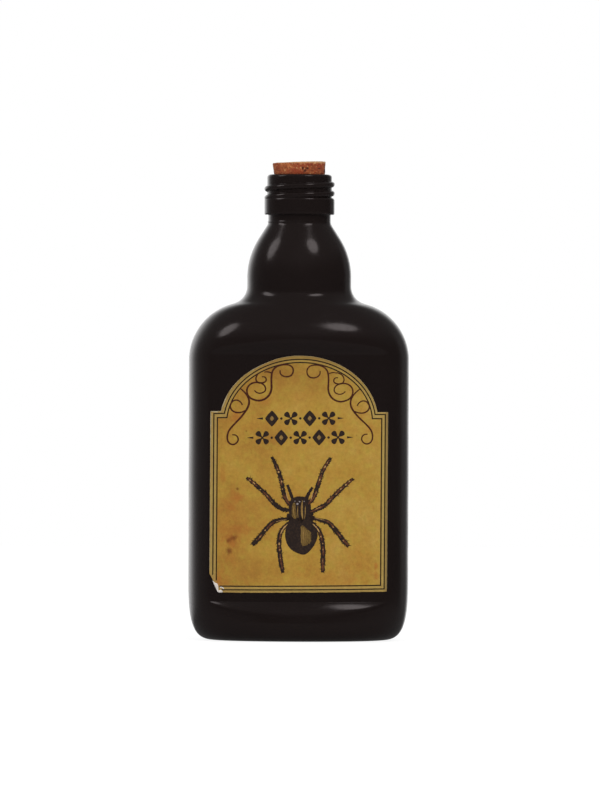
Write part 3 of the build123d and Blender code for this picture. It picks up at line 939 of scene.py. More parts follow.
def aged_paper():
    """Wood-pulp paper, printed, then yellowed and stained with age: matte, mottled, with a faint tooth.

    The clouds are the uneven yellowing, the fine grain is the pulp, and the margins are rubbed paler. Its
    tone is painted lighter towards the right as lamp light, and greyed towards the top by dust and painted
    shade under the shoulder. The tooth and the pulp are finer than the picture shows, so they are drawn 0.4
    and 1.3 mm across.
    """
    material, tree = new_material("aged_paper")
    place = add(tree, "TexCoord").outputs["Object"]
    shifted = add(tree, "Mapping", {"Vector": place, "Location": (0.031, 0.0, 0.017)})
    cloud = add(tree, "TexNoise", {"Vector": shifted, "Scale": fine(13), "Detail": 7.0, "Roughness": 0.6})
    split = add(tree, "SeparateXYZ", {"Vector": place})
    # Painted light: the paper's tone is made lighter towards the right, where the right lamp is stronger
    cloud_lit_from_right = add(
        tree, "Math",
        {0: split.outputs["X"], 1: 0.13 / (LABEL_HALF_WIDTH * MM), 2: cloud}, operation="MULTIPLY_ADD",
    )
    colour = add(tree, "ValToRGB", {"Fac": cloud_lit_from_right})
    set_ramp(colour, (
        (0.25, "#9A6E2D"), (0.36, "#A37A31"), (0.5, "#AC8837"), (0.62, "#B08D3D"), (0.75, "#B59245"),
    ))
    blots = add(tree, "TexNoise", {"Vector": place, "Scale": fine(3.2), "Detail": 4.0, "Roughness": 0.6})
    tone = lay_pattern(tree, colour, (
        (blots, 0.42, 0.72, 0.0, 0.5, "#A87632"),
        (blots, 0.46, 0.3, 0.0, 0.4, "#A89238"),
    ))
    soaked = add(tree, "TexNoise", {"Vector": place, "Scale": fine(2.4), "Detail": 5.0, "Roughness": 0.65})
    for u, v, width, height, strength, dark in STAINS:
        middle, half_size = on_label(u, v, LABEL_FACE), (0.5 * width, 0.5 * width, 0.5 * height)
        brown = "#6A3A18" if dark else "#A4662A"
        tone = lay_spot(
            tree, tone, place, middle, half_size, (soaked, 2.4), (1.3, 2.7), strength, brown, "SMOOTHSTEP",
        )

    high = add(
        tree, "MapRange",
        {"Value": split.outputs["Z"], "From Min": (LABEL_BOTTOM + DUST_AND_SHADE_FROM) * MM,
         "From Max": (LABEL_BOTTOM + LABEL_HEIGHT) * MM, "To Min": 0.0, "To Max": 1.0},
    )
    outside_rules = add(tree, "Attribute", attribute_name="margin").outputs["Fac"]
    less_high_up = add(tree, "Math", {0: high, 1: -0.3, 2: 0.6}, operation="MULTIPLY_ADD")
    rubbed = add(tree, "Math", {0: outside_rules, 1: less_high_up}, operation="MULTIPLY")
    soiled = add(tree, "Attribute", attribute_name="rim").outputs["Fac"]
    for share, over in ((rubbed, "#A38E54"), (soiled, "#7A6238")):
        tone = add(tree, "Mix", {"Factor": share, "A": tone, "B": linear(over)}, data_type="RGBA")
    # Greyed towards the top: dust, and painted shade where the shoulder overhangs the panel
    dusted_and_shaded = add(
        tree, "Mix", {"Factor": high, "A": tone, "B": linear("#E9E8EE")},
        data_type="RGBA", blend_type="MULTIPLY",
    )
    pulp = add(tree, "TexNoise", {"Vector": place, "Scale": fine(1.3), "Detail": 4.0, "Roughness": 0.75})
    grain = add(
        tree, "MapRange", {"Value": pulp, "From Min": 0.3, "From Max": 0.7, "To Min": 0.88, "To Max": 1.13},
    )
    grained = add(tree, "HueSaturation", {"Value": grain, "Color": dusted_and_shaded})
    fibre = add(tree, "TexNoise", {"Vector": place, "Scale": fine(0.4), "Detail": 4.0})
    bump = add(tree, "Bump", {"Height": fibre, "Strength": 0.25, "Distance": 0.06 * MM})
    surface = add(
        tree, "BsdfPrincipled",
        {"Base Color": grained, "Roughness": 0.75, "Specular IOR Level": 0.2, "Normal": bump},
    )
    finish_material(tree, surface)
    return material


def plain_paint(name, colour, speckle, roughness):
    """Ink or bare paper: one matte colour, speckled with a second by the press or by the pulp under it."""
    material, tree = new_material(name)
    place = add(tree, "TexCoord").outputs["Object"]
    press = add(tree, "TexNoise", {"Vector": place, "Scale": fine(0.7), "Detail": 3.0})
    ramp = add(tree, "ValToRGB", {"Fac": press})
    set_ramp(ramp, ((0.4, colour), (0.75, speckle)))
    surface = add(
        tree, "BsdfPrincipled", {"Base Color": ramp, "Roughness": roughness, "Specular IOR Level": 0.25},
    )
    finish_material(tree, surface)
    return material


class Print:
    """Flat printed shapes that follow the label's surface, gathered into one mesh."""

    def __init__(self, lift):
        self.lift = LABEL_FACE + lift
        self.points = []
        self.faces = []

    def strip(self, left, right):
        """Band between two lines of the same number of points."""
        start = len(self.points)
        for a, b in zip(left, right):
            self.points.append(on_label(*a, self.lift))
            self.points.append(on_label(*b, self.lift))
        for n in range(len(left) - 1):
            a = start + 2 * n
            self.faces.append((a, a + 1, a + 3, a + 2))

    def stroke(self, path, widths, rough=0.06):
        """Inked line along a path, with widths spread evenly from its start to its end."""
        left, right = [], []
        for n, (u, v) in enumerate(path):
            a, b = path[max(n - 1, 0)], path[min(n + 1, len(path) - 1)]
            du, dv = b[0] - a[0], b[1] - a[1]
            size = math.hypot(du, dv) or 1
            share = n / (len(path) - 1)
            wide = np.interp(share, np.linspace(0, 1, len(widths)), widths) / 2
            wide *= 1 + rough * uneven(u * 1.7, v * 1.7, 5)
            left.append((u - dv / size * wide, v + du / size * wide))
            right.append((u + dv / size * wide, v - du / size * wide))
        self.strip(right, left)

    def patch(self, outline, centre):
        """Filled shape around a centre, in rings so that it bends with the label."""
        start = len(self.points)
        shares = (0.0, 0.35, 0.7, 1.0)
        for share in shares[1:]:
            for u, v in outline:
                point = (centre[0] + (u - centre[0]) * share, centre[1] + (v - centre[1]) * share)
                self.points.append(on_label(*point, self.lift))
        self.points.append(on_label(*centre, self.lift))
        count = len(outline)
        middle = start + count * (len(shares) - 1)
        for n in range(count):
            m = (n + 1) % count
            self.faces.append((middle, start + n, start + m))
            for ring in range(len(shares) - 2):
                a, b = start + ring * count, start + (ring + 1) * count
                self.faces.append((a + n, b + n, b + m, a + m))

    def make(self, name, material):
        """Piece of all the gathered shapes in one ink, or in bare paper."""
        piece = make_piece(name, self.points, self.faces, "bottle", material)
        return piece


# Insets of the two rules from the label's edge, at its sides, foot, ears and arch
BORDER = (
    {"side": 1.21, "foot": 1.1, "ear": 0.9, "arch": 1.4},
    {"side": 2.65, "foot": 2.56, "ear": 2.6, "arch": 2.68},
)
BORDER_LINE = 0.48
PRINT_SHIFT = 0.12


def straight_runs(corners):
    """Points along straight runs between corners, more on a long run, which bends with the label."""
    path = [corners[0]]
    for (a, b), (c, d) in zip(corners, corners[1:]):
        count = 6 if math.hypot(c - a, d - b) < 5 else 60
        path += [(a + (c - a) * share, b + (d - b) * share) for share in np.linspace(0, 1, count)[1:]]
    return path


def label_outline(insets, spread=0.0, cut=False):
    """Label's outline drawn in by a rule's insets, from the left foot round by the right.

    With cut, it follows the hand-cut edge of the paper.
    """
    inset = {place: amount + spread for place, amount in insets.items()}
    side, low = LABEL_HALF_WIDTH - inset["side"], inset["foot"]
    halves = {hand: half_arch(hand, inset, ARCH_TRIM[hand] if cut else RULE_TRIM) for hand in (-1, 1)}
    _, ear, start, foot = halves[1]
    _, left_ear, left_start, left_foot = halves[-1]
    path = straight_runs([(-side, low), (side, low), (side, ear), (foot, ear)])[:-1]
    for a in np.linspace(start, math.pi - left_start, 110):
        u = halves[1 if math.cos(a) > 0 else -1][0] * math.cos(a)
        lowered = arch_flat(u) if cut else 0
        path.append((u, ARCH_CENTRE + (LABEL_ARCH_HALF_HEIGHT - inset["arch"]) * math.sin(a) - lowered))
    return path + straight_runs([(-left_foot, left_ear), (-side, left_ear), (-side, low)])[1:]


def print_border(ink):
    """Double rule round the label, broken where the torn corner has taken it."""
    for inset in BORDER:
        outer, inner = label_outline(inset, -BORDER_LINE / 2), label_outline(inset, BORDER_LINE / 2)
        run_outer, run_inner = [], []
        for a, b in zip(outer, inner):
            if a[1] - label_foot(a[0]) > 0.25:
                run_outer.append((a[0] + PRINT_SHIFT, a[1]))
                run_inner.append((b[0] + PRINT_SHIFT, b[1]))
            elif run_outer:
                ink.strip(run_outer, run_inner)
                run_outer, run_inner = [], []
        if run_outer:
            ink.strip(run_outer, run_inner)


# How far the edge is rubbed at the left side, on the arch's left half, elsewhere and at the upper left
SIDE_WEAR = 0.7
ARCH_WEAR = 0.35
LEAST_WEAR = 0.2
CORNER_WEAR = 0.45
WORN_CORNER = (-33, EAR)
WORN_CORNER_REACH = 14


def edge_wear(pale):
    """Rubbed edge of the paper, where its pale core shows, widest at the upper left."""
    outer, inner = [], []
    for a, b in zip(label_outline(NO_INSET, -0.02, True), label_outline(NO_INSET, 1.0, True)):
        u, v = a
        if v - label_foot(u) < 0.2:
            continue
        corner = max(0.0, 1 - math.hypot(u - WORN_CORNER[0], v - WORN_CORNER[1]) / WORN_CORNER_REACH)
        wear = ARCH_WEAR if u < 0 and v > EAR else LEAST_WEAR
        if u < -ARCH_FOOT[-1] - 0.5:
            wear = SIDE_WEAR
        rub = 0.5 + uneven(u / 2.2, v / 2.2, 4.0) + 0.5 * uneven(u / 0.6, v / 0.6, 9.0)
        wide = max(0.0, 0.03 + 0.2 * wear * rub + CORNER_WEAR * corner * max(0.0, rub))
        outer.append(a)
        inner.append((u + (b[0] - u) * wide, v + (b[1] - v) * wide))
    pale.strip(outer, inner)


# Scrolls in the arch's left half, drawn by points, each with the widths of its line from start to end
SCROLLS = (
    (
        (
            (-7.8, 89.3), (-7.8, 88.2), (-7.3, 87.4), (-6.4, 86.85), (-5.2, 86.65), (-4.0, 86.85),
            (-3.1, 87.5), (-2.6, 88.6), (-2.6, 89.7), (-3.2, 90.7), (-4.3, 91.3), (-5.8, 91.5),
            (-7.6, 91.3), (-9.0, 90.8), (-10.0, 90.1), (-10.7, 89.2), (-11.1, 88.1), (-11.3, 86.4),
            (-11.3, 84.4), (-11.2, 82.4), (-11.45, 80.9), (-12.05, 79.5), (-13.0, 78.4), (-14.4, 77.5),
            (-16.2, 77.1), (-18.0, 77.4), (-19.6, 78.1), (-20.6, 79.2), (-21.1, 80.6), (-21.0, 82.0),
            (-20.3, 83.2), (-19.2, 84.0), (-17.8, 84.4), (-16.3, 84.3), (-15.0, 83.9), (-14.0, 83.0),
            (-13.6, 81.9), (-13.9, 80.9), (-14.8, 80.3), (-16.0, 80.05), (-17.2, 80.4), (-18.1, 81.2),
        ),
        (0.5, 0.68, 0.6, 0.75, 0.85, 0.75, 0.68, 0.6, 0.5),
    ),
    (
        (
            (-15.1, 86.65), (-14.3, 86.65), (-13.6, 86.2), (-13.4, 85.3), (-13.9, 84.6),
            (-14.8, 84.25), (-15.8, 84.2), (-16.8, 84.5), (-17.4, 85.2), (-17.5, 86.1), (-17.2, 87.0),
            (-16.7, 87.7),
        ),
        (0.45, 0.6, 0.65, 0.62, 0.55),
    ),
    (
        ((-14.2, 88.5), (-13.2, 88.65), (-12.2, 88.5), (-11.2, 88.15)),
        (0.4, 0.55, 0.5),
    ),
    (
        (
            (-23.9, 82.1), (-22.8, 81.2), (-21.8, 80.2), (-21.0, 79.1), (-20.4, 77.9), (-20.2, 76.6),
            (-20.4, 75.2), (-21.1, 73.7), (-22.1, 72.2), (-23.5, 70.4), (-25.2, 68.6), (-26.8, 66.9),
            (-28.0, 65.4), (-28.7, 63.9), (-28.9, 62.3), (-28.6, 60.8), (-27.7, 59.8), (-26.4, 59.5),
            (-25.2, 60.1), (-24.5, 61.3), (-24.8, 62.6), (-25.7, 63.3), (-26.9, 63.4),
        ),
        (0.5, 0.72, 0.85, 0.75, 0.72, 0.68, 0.6, 0.5),
    ),
    (
        (
            (-22.9, 75.4), (-23.5, 76.4), (-24.6, 77.2), (-25.9, 77.3), (-27.0, 76.7), (-27.7, 75.5),
            (-27.7, 74.3), (-27.0, 73.2), (-25.8, 72.5), (-24.4, 72.3), (-23.0, 72.55), (-21.8, 73.1),
        ),
        (0.5, 0.6, 0.68, 0.66, 0.55),
    ),
)
# On the right, the tick runs on into the small curl
RIGHT_SCROLL_LINK = (
    ((-14.2, 88.5), (-15.0, 88.5), (-15.8, 88.2), (-16.4, 87.85), (-16.8, 87.5)),
    (0.5, 0.55, 0.5),
)
# The right scrolls mirror the left ones over this line, lower and closer in beside the ear, and finer
SCROLL_MIDDLE = 0.3
RIGHT_SCROLL_DROP = 0.57
RIGHT_SCROLL_DROP_PLACE = 80.5
RIGHT_SCROLL_DROP_REACH = 11
RIGHT_SCROLL_CLOSER = 0.5
RIGHT_SCROLL_PRESS = 0.88


def print_scrolls(ink):
    """Scrolls in both halves of the arch."""
    for points, widths in SCROLLS:
        ink.stroke(smooth_path(points, 4), widths)
    for points, widths in SCROLLS + (RIGHT_SCROLL_LINK,):
        right = []
        for u, v in smooth_path(points, 4):
            far = (v - RIGHT_SCROLL_DROP_PLACE) / RIGHT_SCROLL_DROP_REACH
            drop = RIGHT_SCROLL_DROP * math.exp(-(far**4))
            right.append((2 * SCROLL_MIDDLE - u - RIGHT_SCROLL_CLOSER * drop, v - drop))
        ink.stroke(right, [RIGHT_SCROLL_PRESS * wide for wide in widths])


def smooth_path(points, steps):
    """Rounded path through points."""
    path = []
    for n in range(len(points) - 1):
        p = [points[max(n - 1, 0)], points[n], points[n + 1], points[min(n + 2, len(points) - 1)]]
        for m in range(steps):
            t = m / steps
            weights = (
                (-t + 2 * t**2 - t**3) / 2, (2 - 5 * t**2 + 3 * t**3) / 2,
                (t + 4 * t**2 - 3 * t**3) / 2, (-(t**2) + t**3) / 2,
            )
            path.append(tuple(sum(w * q[k] for w, q in zip(weights, p)) for k in (0, 1)))
    path.append(tuple(points[-1]))
    return path


def ring_outline(centre, half_width, half_height, power=2.0, count=40):
    """Round or squared outline about a centre."""
    outline = []
    for n in range(count):
        cosine, sine = math.cos(2 * math.pi * n / count), math.sin(2 * math.pi * n / count)
        u = math.copysign(abs(cosine) ** (2 / power), cosine) * half_width
        v = math.copysign(abs(sine) ** (2 / power), sine) * half_height
        outline.append((centre[0] + u, centre[1] + v))
    return outline


def lozenge(ink, centre, half_width, half_height):
    """Printer's lozenge with hollow sides."""
    ink.patch(ring_outline(centre, half_width, half_height, power=1.15), centre)


def flower(ink, centre, size):
    """Printer's flower of four petals."""
    for degrees in (45, 135, 225, 315):
        a = math.radians(degrees)
        middle = (centre[0] + 0.55 * size * math.cos(a), centre[1] + 0.55 * size * math.sin(a))
        petal = []
        for m in range(24):
            t = 2 * math.pi * m / 24
            along, beside = 0.5 * size * math.cos(t), 0.24 * size * math.sin(t) * (1.2 + math.cos(t))
            u = middle[0] + along * math.cos(a) - beside * math.sin(a)
            v = middle[1] + along * math.sin(a) + beside * math.cos(a)
            petal.append((u, v))
        ink.patch(petal, middle)
    ink.patch(ring_outline(centre, 0.16 * size, 0.16 * size), centre)


# Height over the label's foot of each row of ornaments, and how many it has
ORNAMENT_ROWS = ((69.9, 4), (62.2, 5))
ORNAMENT_STEP = 7.6
ORNAMENT_SHIFT = 0.4
FLOWER_SIZE = 3.1
# Half width and half height of a lozenge and of its pale heart, and the radius of the dots between
LOZENGE = (2.7, 3.2)
LOZENGE_HEART = (0.8, 1.0)
DOT = 0.5
# Tapered rule at each end of a row: its distance from the last ornament's middle, length and widths
END_RULE_GAP = 3.6
END_RULE_LENGTH = 2.4
END_RULE_WIDTHS = (0.9, 0.5, 0.12)


def print_ornaments(ink, pale):
    """Two centred rows of printer's ornaments over the picture."""
    for height, count in ORNAMENT_ROWS:
        first = -(count - 1) / 2 * ORNAMENT_STEP
        for n in range(count):
            centre = (first + n * ORNAMENT_STEP + ORNAMENT_SHIFT, height)
            if (n + count) % 2:
                flower(ink, centre, FLOWER_SIZE)
            else:
                lozenge(ink, centre, *LOZENGE)
                pale.patch(ring_outline(centre, *LOZENGE_HEART, power=1.3), centre)
            if n < count - 1:
                dot = (centre[0] + ORNAMENT_STEP / 2, height)
                ink.patch(ring_outline(dot, DOT, DOT, count=16), dot)
        for side in (-1, 1):
            end = side * (-first + END_RULE_GAP) + ORNAMENT_SHIFT
            rule = [(end + side * END_RULE_LENGTH * share, height) for share in np.linspace(0, 1, 6)]
            ink.stroke(rule, END_RULE_WIDTHS)


# Spider: joints of its legs from the chest out, in the label's u and v
SPIDER_LEGS = (
    ((-3.4, 35.0), (-5.5, 38.0), (-6.4, 41.6), (-7.2, 45.6), (-8.3, 49.0), (-9.6, 51.8), (-10.8, 54.5)),
    ((3.6, 35.2), (6.0, 38.2), (7.2, 41.6), (8.4, 45.4), (9.7, 49.0), (11.2, 51.8), (12.8, 54.0)),
    ((-3.8, 33.0), (-7.0, 33.7), (-10.0, 35.9), (-13.0, 39.4), (-16.2, 42.3), (-19.0, 44.7), (-21.0, 46.2)),
    ((4.2, 32.2), (7.6, 33.5), (11.0, 35.4), (13.6, 38.1), (16.4, 40.9), (19.2, 43.4), (21.8, 45.6)),
    ((-3.6, 29.7), (-7.0, 29.3), (-10.4, 28.2), (-13.2, 25.4), (-15.2, 22.8), (-16.9, 20.8), (-18.5, 19.2)),
    ((4.6, 30.4), (8.0, 29.2), (11.8, 28.1), (14.2, 25.7), (16.2, 23.2), (18.2, 20.6), (20.2, 18.4)),
    ((-3.8, 28.2), (-6.2, 25.8), (-7.5, 23.0), (-7.8, 19.6), (-7.5, 15.8), (-6.9, 11.8), (-6.2, 8.0)),
    ((5.0, 28.4), (7.6, 25.8), (9.0, 23.0), (9.7, 19.6), (9.9, 15.8), (9.8, 11.8), (9.9, 8.0)),
)
# Widths of an upper leg and of a lower one, from the chest to the tip
LEG_WIDTHS = (1.45, 1.7, 1.8, 1.9, 1.85, 1.75, 1.6, 1.35, 0.5)
LOW_LEG_WIDTHS = (1.1, 1.4, 1.7, 2.0, 2.1, 2.1, 2.1, 2.0, 1.0)
LEG_THICKNESS = 0.86
# Hairs on a leg's flanks: length of the short ones, lean towards the tip, and widths from root to tip
HAIR_LENGTH = 0.28
HAIR_LEAN = 0.35
HAIR_WIDTHS = (0.36, 0.1)
# Marks along each leg: from where to where, from 0 at the chest to 1, their place across and their width
LEG_MARKS = (
    ((0.33, 0.35, 0.2, 0.5), (0.45, 0.48, -0.1, 0.7), (0.62, 0.66, 0.05, 0.8), (0.7, 0.72, 0.2, 0.5)),
    ((0.24, 0.29, -0.2, 0.35), (0.48, 0.52, 0.0, 0.8), (0.62, 0.64, 0.15, 0.5), (0.73, 0.78, -0.05, 0.75),
     (0.84, 0.87, 0.0, 0.5)),
    ((0.36, 0.38, 0.2, 0.45), (0.47, 0.49, 0.1, 0.5), (0.61, 0.63, 0.2, 0.5), (0.76, 0.8, -0.1, 0.65),
     (0.86, 0.9, 0.05, 0.7)),
    ((0.12, 0.24, 0.25, 0.3), (0.43, 0.46, 0.2, 0.55), (0.58, 0.6, -0.1, 0.6), (0.68, 0.72, 0.1, 0.65),
     (0.8, 0.84, 0.0, 0.75), (0.89, 0.92, 0.1, 0.6)),
    ((0.08, 0.28, 0.35, 0.26), (0.5, 0.54, 0.1, 0.55), (0.68, 0.72, 0.1, 0.65), (0.8, 0.82, -0.2, 0.45)),
    ((0.1, 0.28, 0.35, 0.28), (0.46, 0.49, 0.1, 0.55), (0.68, 0.71, 0.15, 0.55), (0.82, 0.84, -0.1, 0.45)),
    ((0.07, 0.3, 0.15, 0.65), (0.36, 0.39, 0.3, 0.55), (0.48, 0.53, 0.1, 0.85), (0.6, 0.63, 0.2, 0.6),
     (0.74, 0.76, 0.0, 0.4)),
    ((0.06, 0.27, -0.15, 0.65), (0.35, 0.39, -0.2, 0.7), (0.49, 0.52, 0.1, 0.7), (0.6, 0.63, 0.0, 0.55),
     (0.79, 0.81, 0.0, 0.4)),
)
# Brown washes along each leg, written as the marks are
LEG_WASHES = (
    ((0.03, 0.26, 0.0, 0.9), (0.4, 0.55, 0.2, 0.8), (0.66, 0.8, 0.0, 0.7)),
    ((0.03, 0.3, 0.0, 1.0), (0.4, 0.6, 0.0, 1.1), (0.66, 0.94, 0.0, 1.0)),
    ((0.4, 0.58, 0.1, 0.8), (0.7, 0.96, 0.0, 1.1)),
    ((0.03, 0.3, 0.0, 0.8), (0.36, 0.53, 0.1, 1.0), (0.56, 0.78, 0.1, 1.1), (0.8, 0.97, 0.0, 1.1)),
    ((0.3, 0.48, 0.2, 0.8), (0.62, 0.8, 0.1, 0.9)),
    ((0.28, 0.5, 0.2, 0.8), (0.6, 0.76, 0.0, 0.9), (0.8, 0.97, 0.1, 1.3)),
    ((0.3, 0.44, 0.2, 0.9), (0.54, 0.64, 0.1, 1.0), (0.68, 0.94, 0.1, 0.9)),
    ((0.28, 0.46, -0.1, 0.9), (0.55, 0.72, 0.1, 1.0), (0.76, 0.97, 0.0, 1.1)),
)
# Middle, half width and half height of the chest, and the belly's outline
CHEST = ((0.45, 33.7), 4.5, 4.9)
BELLY = (
    (-3.4, 29.4), (-4.9, 26.6), (-5.4, 23.4), (-4.9, 20.4), (-3.5, 17.9), (-1.4, 16.3), (0.5, 15.5),
    (1.9, 15.2), (3.3, 15.6), (4.9, 17.0), (6.5, 19.2), (7.5, 21.8), (7.6, 24.2), (6.8, 27.0),
    (4.8, 29.4), (0.6, 30.2),
)
BELLY_MIDDLE = (1.1, 22.6)
# Lit windows on the belly and on the left of the chest
BELLY_WINDOW = (
    (1.0, 26.9), (2.2, 26.6), (3.5, 25.4), (4.8, 24.2), (5.1, 22.2), (4.9, 20.2), (3.6, 19.1), (2.1, 18.6),
    (1.1, 19.6), (0.85, 23.0),
)
BELLY_WINDOW_MIDDLE = (2.8, 22.6)
CHEST_WINDOW = ((-2.6, 35.0), (-1.6, 36.0), (-1.1, 33.4), (-0.8, 30.2), (-1.7, 29.6), (-2.7, 31.2))
CHEST_WINDOW_MIDDLE = (-1.8, 32.8)
FEELERS = (((-2.4, 37.4), (-3.4, 40.2), (-4.6, 43.3)), ((2.9, 37.4), (4.1, 40.0), (5.5, 42.2)))
FEELER_WIDTHS = (1.6, 1.3, 1.25, 0.9)
# Thin pale line beside each feeler, by its distance from the chest's middle and its height
FEELER_LINE = ((4.4, 36.8), (5.0, 38.6), (5.4, 40.6))
FEELER_LINE_MIDDLE = 0.3
HIP_RADIUS = 1.3
HIPS = ((-3.5, 30.6), (4.6, 31.4), (4.9, 29.8), (0.6, 29.0), (-2.8, 29.2))
# Stripes on the chest, by points from its top down, each with its width
CHEST_STRIPES = (
    ((1.5, 37.0), (1.25, 34.0), (1.4, 31.4), (1.7, 29.3), 0.75),
    ((-0.35, 34.8), (-0.4, 33.0), (-0.35, 31.4), (-0.2, 30.0), 0.3),
    ((2.7, 34.8), (2.65, 33.0), (2.6, 31.2), (2.3, 29.6), 0.34),
    ((-2.0, 34.6), (-2.1, 33.2), (-1.9, 31.6), (-1.6, 30.2), 0.34),
)
# Hatching on the belly: distance from the middle, top, bottom and width
BELLY_HATCHES = (
    (1.3, 26.4, 19.6, 0.3), (1.9, 26.2, 19.0, 0.34), (2.5, 25.8, 19.4, 0.22), (3.2, 25.0, 21.0, 0.16),
)
EYES = (((-0.5, 35.6), 0.42), ((0.35, 36.5), 0.26), ((-1.5, 36.7), 0.2), ((2.2, 36.6), 0.22))
FUR = {"hip": 0.3, "chest": 0.16, "belly": 0.1, "belly window": 0.38, "chest window": 0.1}


def closed_path(points, steps):
    """Rounded closed path through points."""
    looped = smooth_path([points[-1], *points, points[0], points[1]], steps)
    return looped[steps:-steps - 1]


def furry(outline, reach):
    """Outline with the small unevenness of short hair."""
    furred = []
    count = len(outline)
    for n, (u, v) in enumerate(outline):
        (a, b), (c, d) = outline[n - 1], outline[(n + 1) % count]
        size = math.hypot(c - a, d - b) or 1
        push = reach * (uneven(u * 2.3, v * 2.3, 8) + 0.7 * uneven(u * 6, v * 6, 2))
        furred.append((u + (d - b) / size * push, v - (c - a) / size * push))
    return furred


def beside_path(path, n, reach):
    """Point beside a path, and the path's direction there."""
    a, b = path[max(n - 1, 0)], path[min(n + 1, len(path) - 1)]
    size = math.hypot(b[0] - a[0], b[1] - a[1]) or 1
    du, dv = (b[0] - a[0]) / size, (b[1] - a[1]) / size
    return (path[n][0] - dv * reach, path[n][1] + du * reach), (du, dv)


def print_leg(ink, pale, wash, joints, order):
    """Jointed leg with uneven short hair on both flanks, brown washes and pale marks."""
    path = smooth_path(joints, 14)
    total = len(path) - 1
    shape = LEG_WIDTHS if order < 4 else LOW_LEG_WIDTHS
    widths = []
    for n, (u, v) in enumerate(path):
        wide = LEG_THICKNESS * np.interp(n / total, np.linspace(0, 1, len(shape)), shape)
        lump = uneven(u * 0.8, v * 0.8, order) + 0.7 * uneven(u * 2.6, v * 2.6, order)
        widths.append(wide * (1 + 0.28 * lump))
    ink.stroke(path, widths, rough=0)
    for n in range(3, total):
        u, v = path[n]
        for flank in (-1, 1):
            patchy = uneven(u * 0.9, v * 0.9, 5 * flank)
            jitter = uneven(u * 5, v * 5, order + 3 * flank)
            root, (du, dv) = beside_path(path, n, flank * widths[n] * 0.35)
            reach = flank * (HAIR_LENGTH + 0.9 * abs(jitter)) * (0.85 + 0.9 * patchy)
            lean = HAIR_LEAN + 0.9 * jitter
            tip = (root[0] - dv * reach + du * lean, root[1] + du * reach + dv * lean)
            ink.stroke([root, tip], HAIR_WIDTHS, rough=0)
    for marks, tone in ((LEG_WASHES[order], wash), (LEG_MARKS[order], pale)):
        for start, end, across, wide in marks:
            first, last = int(start * total), max(int(end * total), int(start * total) + 2)
            mark = [beside_path(path, n, across)[0] for n in range(first, last + 1)]
            tone.stroke(mark, (wide * 0.3, wide * 0.8, wide * 0.55, wide * 0.85, wide * 0.3), rough=0.8)


def print_spider(ink, pale, wash, glint, window, hatching):
    """Spider seen from above, as in old natural history plates."""
    for order, joints in enumerate(SPIDER_LEGS):
        print_leg(ink, pale, wash, joints, order)
    for joints in FEELERS:
        ink.stroke(smooth_path(joints, 8), FEELER_WIDTHS, rough=0.5)
    for side in (-1, 1):
        line = [(side * out + FEELER_LINE_MIDDLE, height) for out, height in FEELER_LINE]
        pale.stroke(smooth_path(line, 5), (0.12, 0.4, 0.12), rough=0.3)
    for hip in HIPS:
        ink.patch(furry(ring_outline(hip, HIP_RADIUS, HIP_RADIUS, count=50), FUR["hip"]), hip)
    middle, half_width, half_height = CHEST
    chest = ring_outline(middle, half_width, half_height, power=2.45, count=120)
    ink.patch(furry(chest, FUR["chest"]), middle)
    ink.patch(furry(closed_path(BELLY, 8), FUR["belly"]), BELLY_MIDDLE)
    window.patch(furry(closed_path(BELLY_WINDOW, 5), FUR["belly window"]), BELLY_WINDOW_MIDDLE)
    window.patch(furry(closed_path(CHEST_WINDOW, 5), FUR["chest window"]), CHEST_WINDOW_MIDDLE)
    for *points, wide in CHEST_STRIPES:
        hatching.stroke(smooth_path(points, 6), (0.1, wide, wide, wide * 0.8, 0.12), rough=0.4)
    for out, high, low, wide in BELLY_HATCHES:
        hatch = smooth_path([(out, high), (out * 1.08, (high + low) / 2), (out * 1.02, low)], 8)
        hatching.stroke(hatch, (0.08, wide, wide * 0.8, 0.06), rough=0.6)
    for centre, size in EYES:
        glint.patch(ring_outline(centre, size, size * 0.9, count=14), centre)


# Torn corner's flap and two slivers: where each is folded, its free edge, and its rise over the sheet
CORNER_FLAPS = (
    (
        ((-34.5, 4.75), (-33.9, 3.4), (-33.2, 2.0), (-32.35, 0.15)),
        ((-34.35, 4.7), (-33.3, 3.9), (-32.3, 3.2), (-31.95, 0.5)),
        0.28,
    ),
    (
        ((-32.1, 0.02), (-31.3, 0.0), (-30.6, 0.02), (-30.2, 0.25)),
        ((-31.9, 0.8), (-31.3, 1.05), (-30.8, 1.0), (-30.4, 0.6)),
        0.25,
    ),
    (
        ((-31.5, 2.2), (-30.8, 2.3), (-30.1, 2.0), (-29.7, 1.5)),
        ((-31.2, 1.8), (-30.8, 1.8), (-30.4, 1.6), (-30.1, 1.3)),
        0.2,
    ),
)
# Height over the paper's face where a flap starts and the least that it keeps, and how crumpled it is
FLAP_START = 0.04
FLAP_LEAST = 0.02
FLAP_CRUMPLE = 0.35


def make_corner_curl(material):
    """Torn lower left corner, turned back so that the paper's bare underside shows."""
    points, faces = [], []
    across = 8
    for fold, free, rise in CORNER_FLAPS:
        fold, free = smooth_path(fold, 5), smooth_path(free, 5)
        start = len(points)
        for n, ((a, b), (c, d)) in enumerate(zip(fold, free)):
            for m in range(across):
                t = m / (across - 1)
                crumple = 1 + FLAP_CRUMPLE * uneven(n * 0.5, t * 2, rise * 30)
                lift = max(FLAP_LEAST, FLAP_START + rise * crumple * (1 - (1.7 * t - 0.7) ** 2))
                points.append(on_label(a + (c - a) * t, b + (d - b) * t, LABEL_FACE + lift))
        for face in ring_faces(len(fold), across, closed=False):
            faces.append(tuple(start + n for n in face))
    piece = make_piece("label_corner", points, faces, "bottle", material)
    return piece


def paint_adhesive(material):
    """Puts the glue's material on the CAD's own film, which shows only where the torn corner has left it."""
    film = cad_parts["label_adhesive"].data.materials
    film.clear()
    film.append(material)


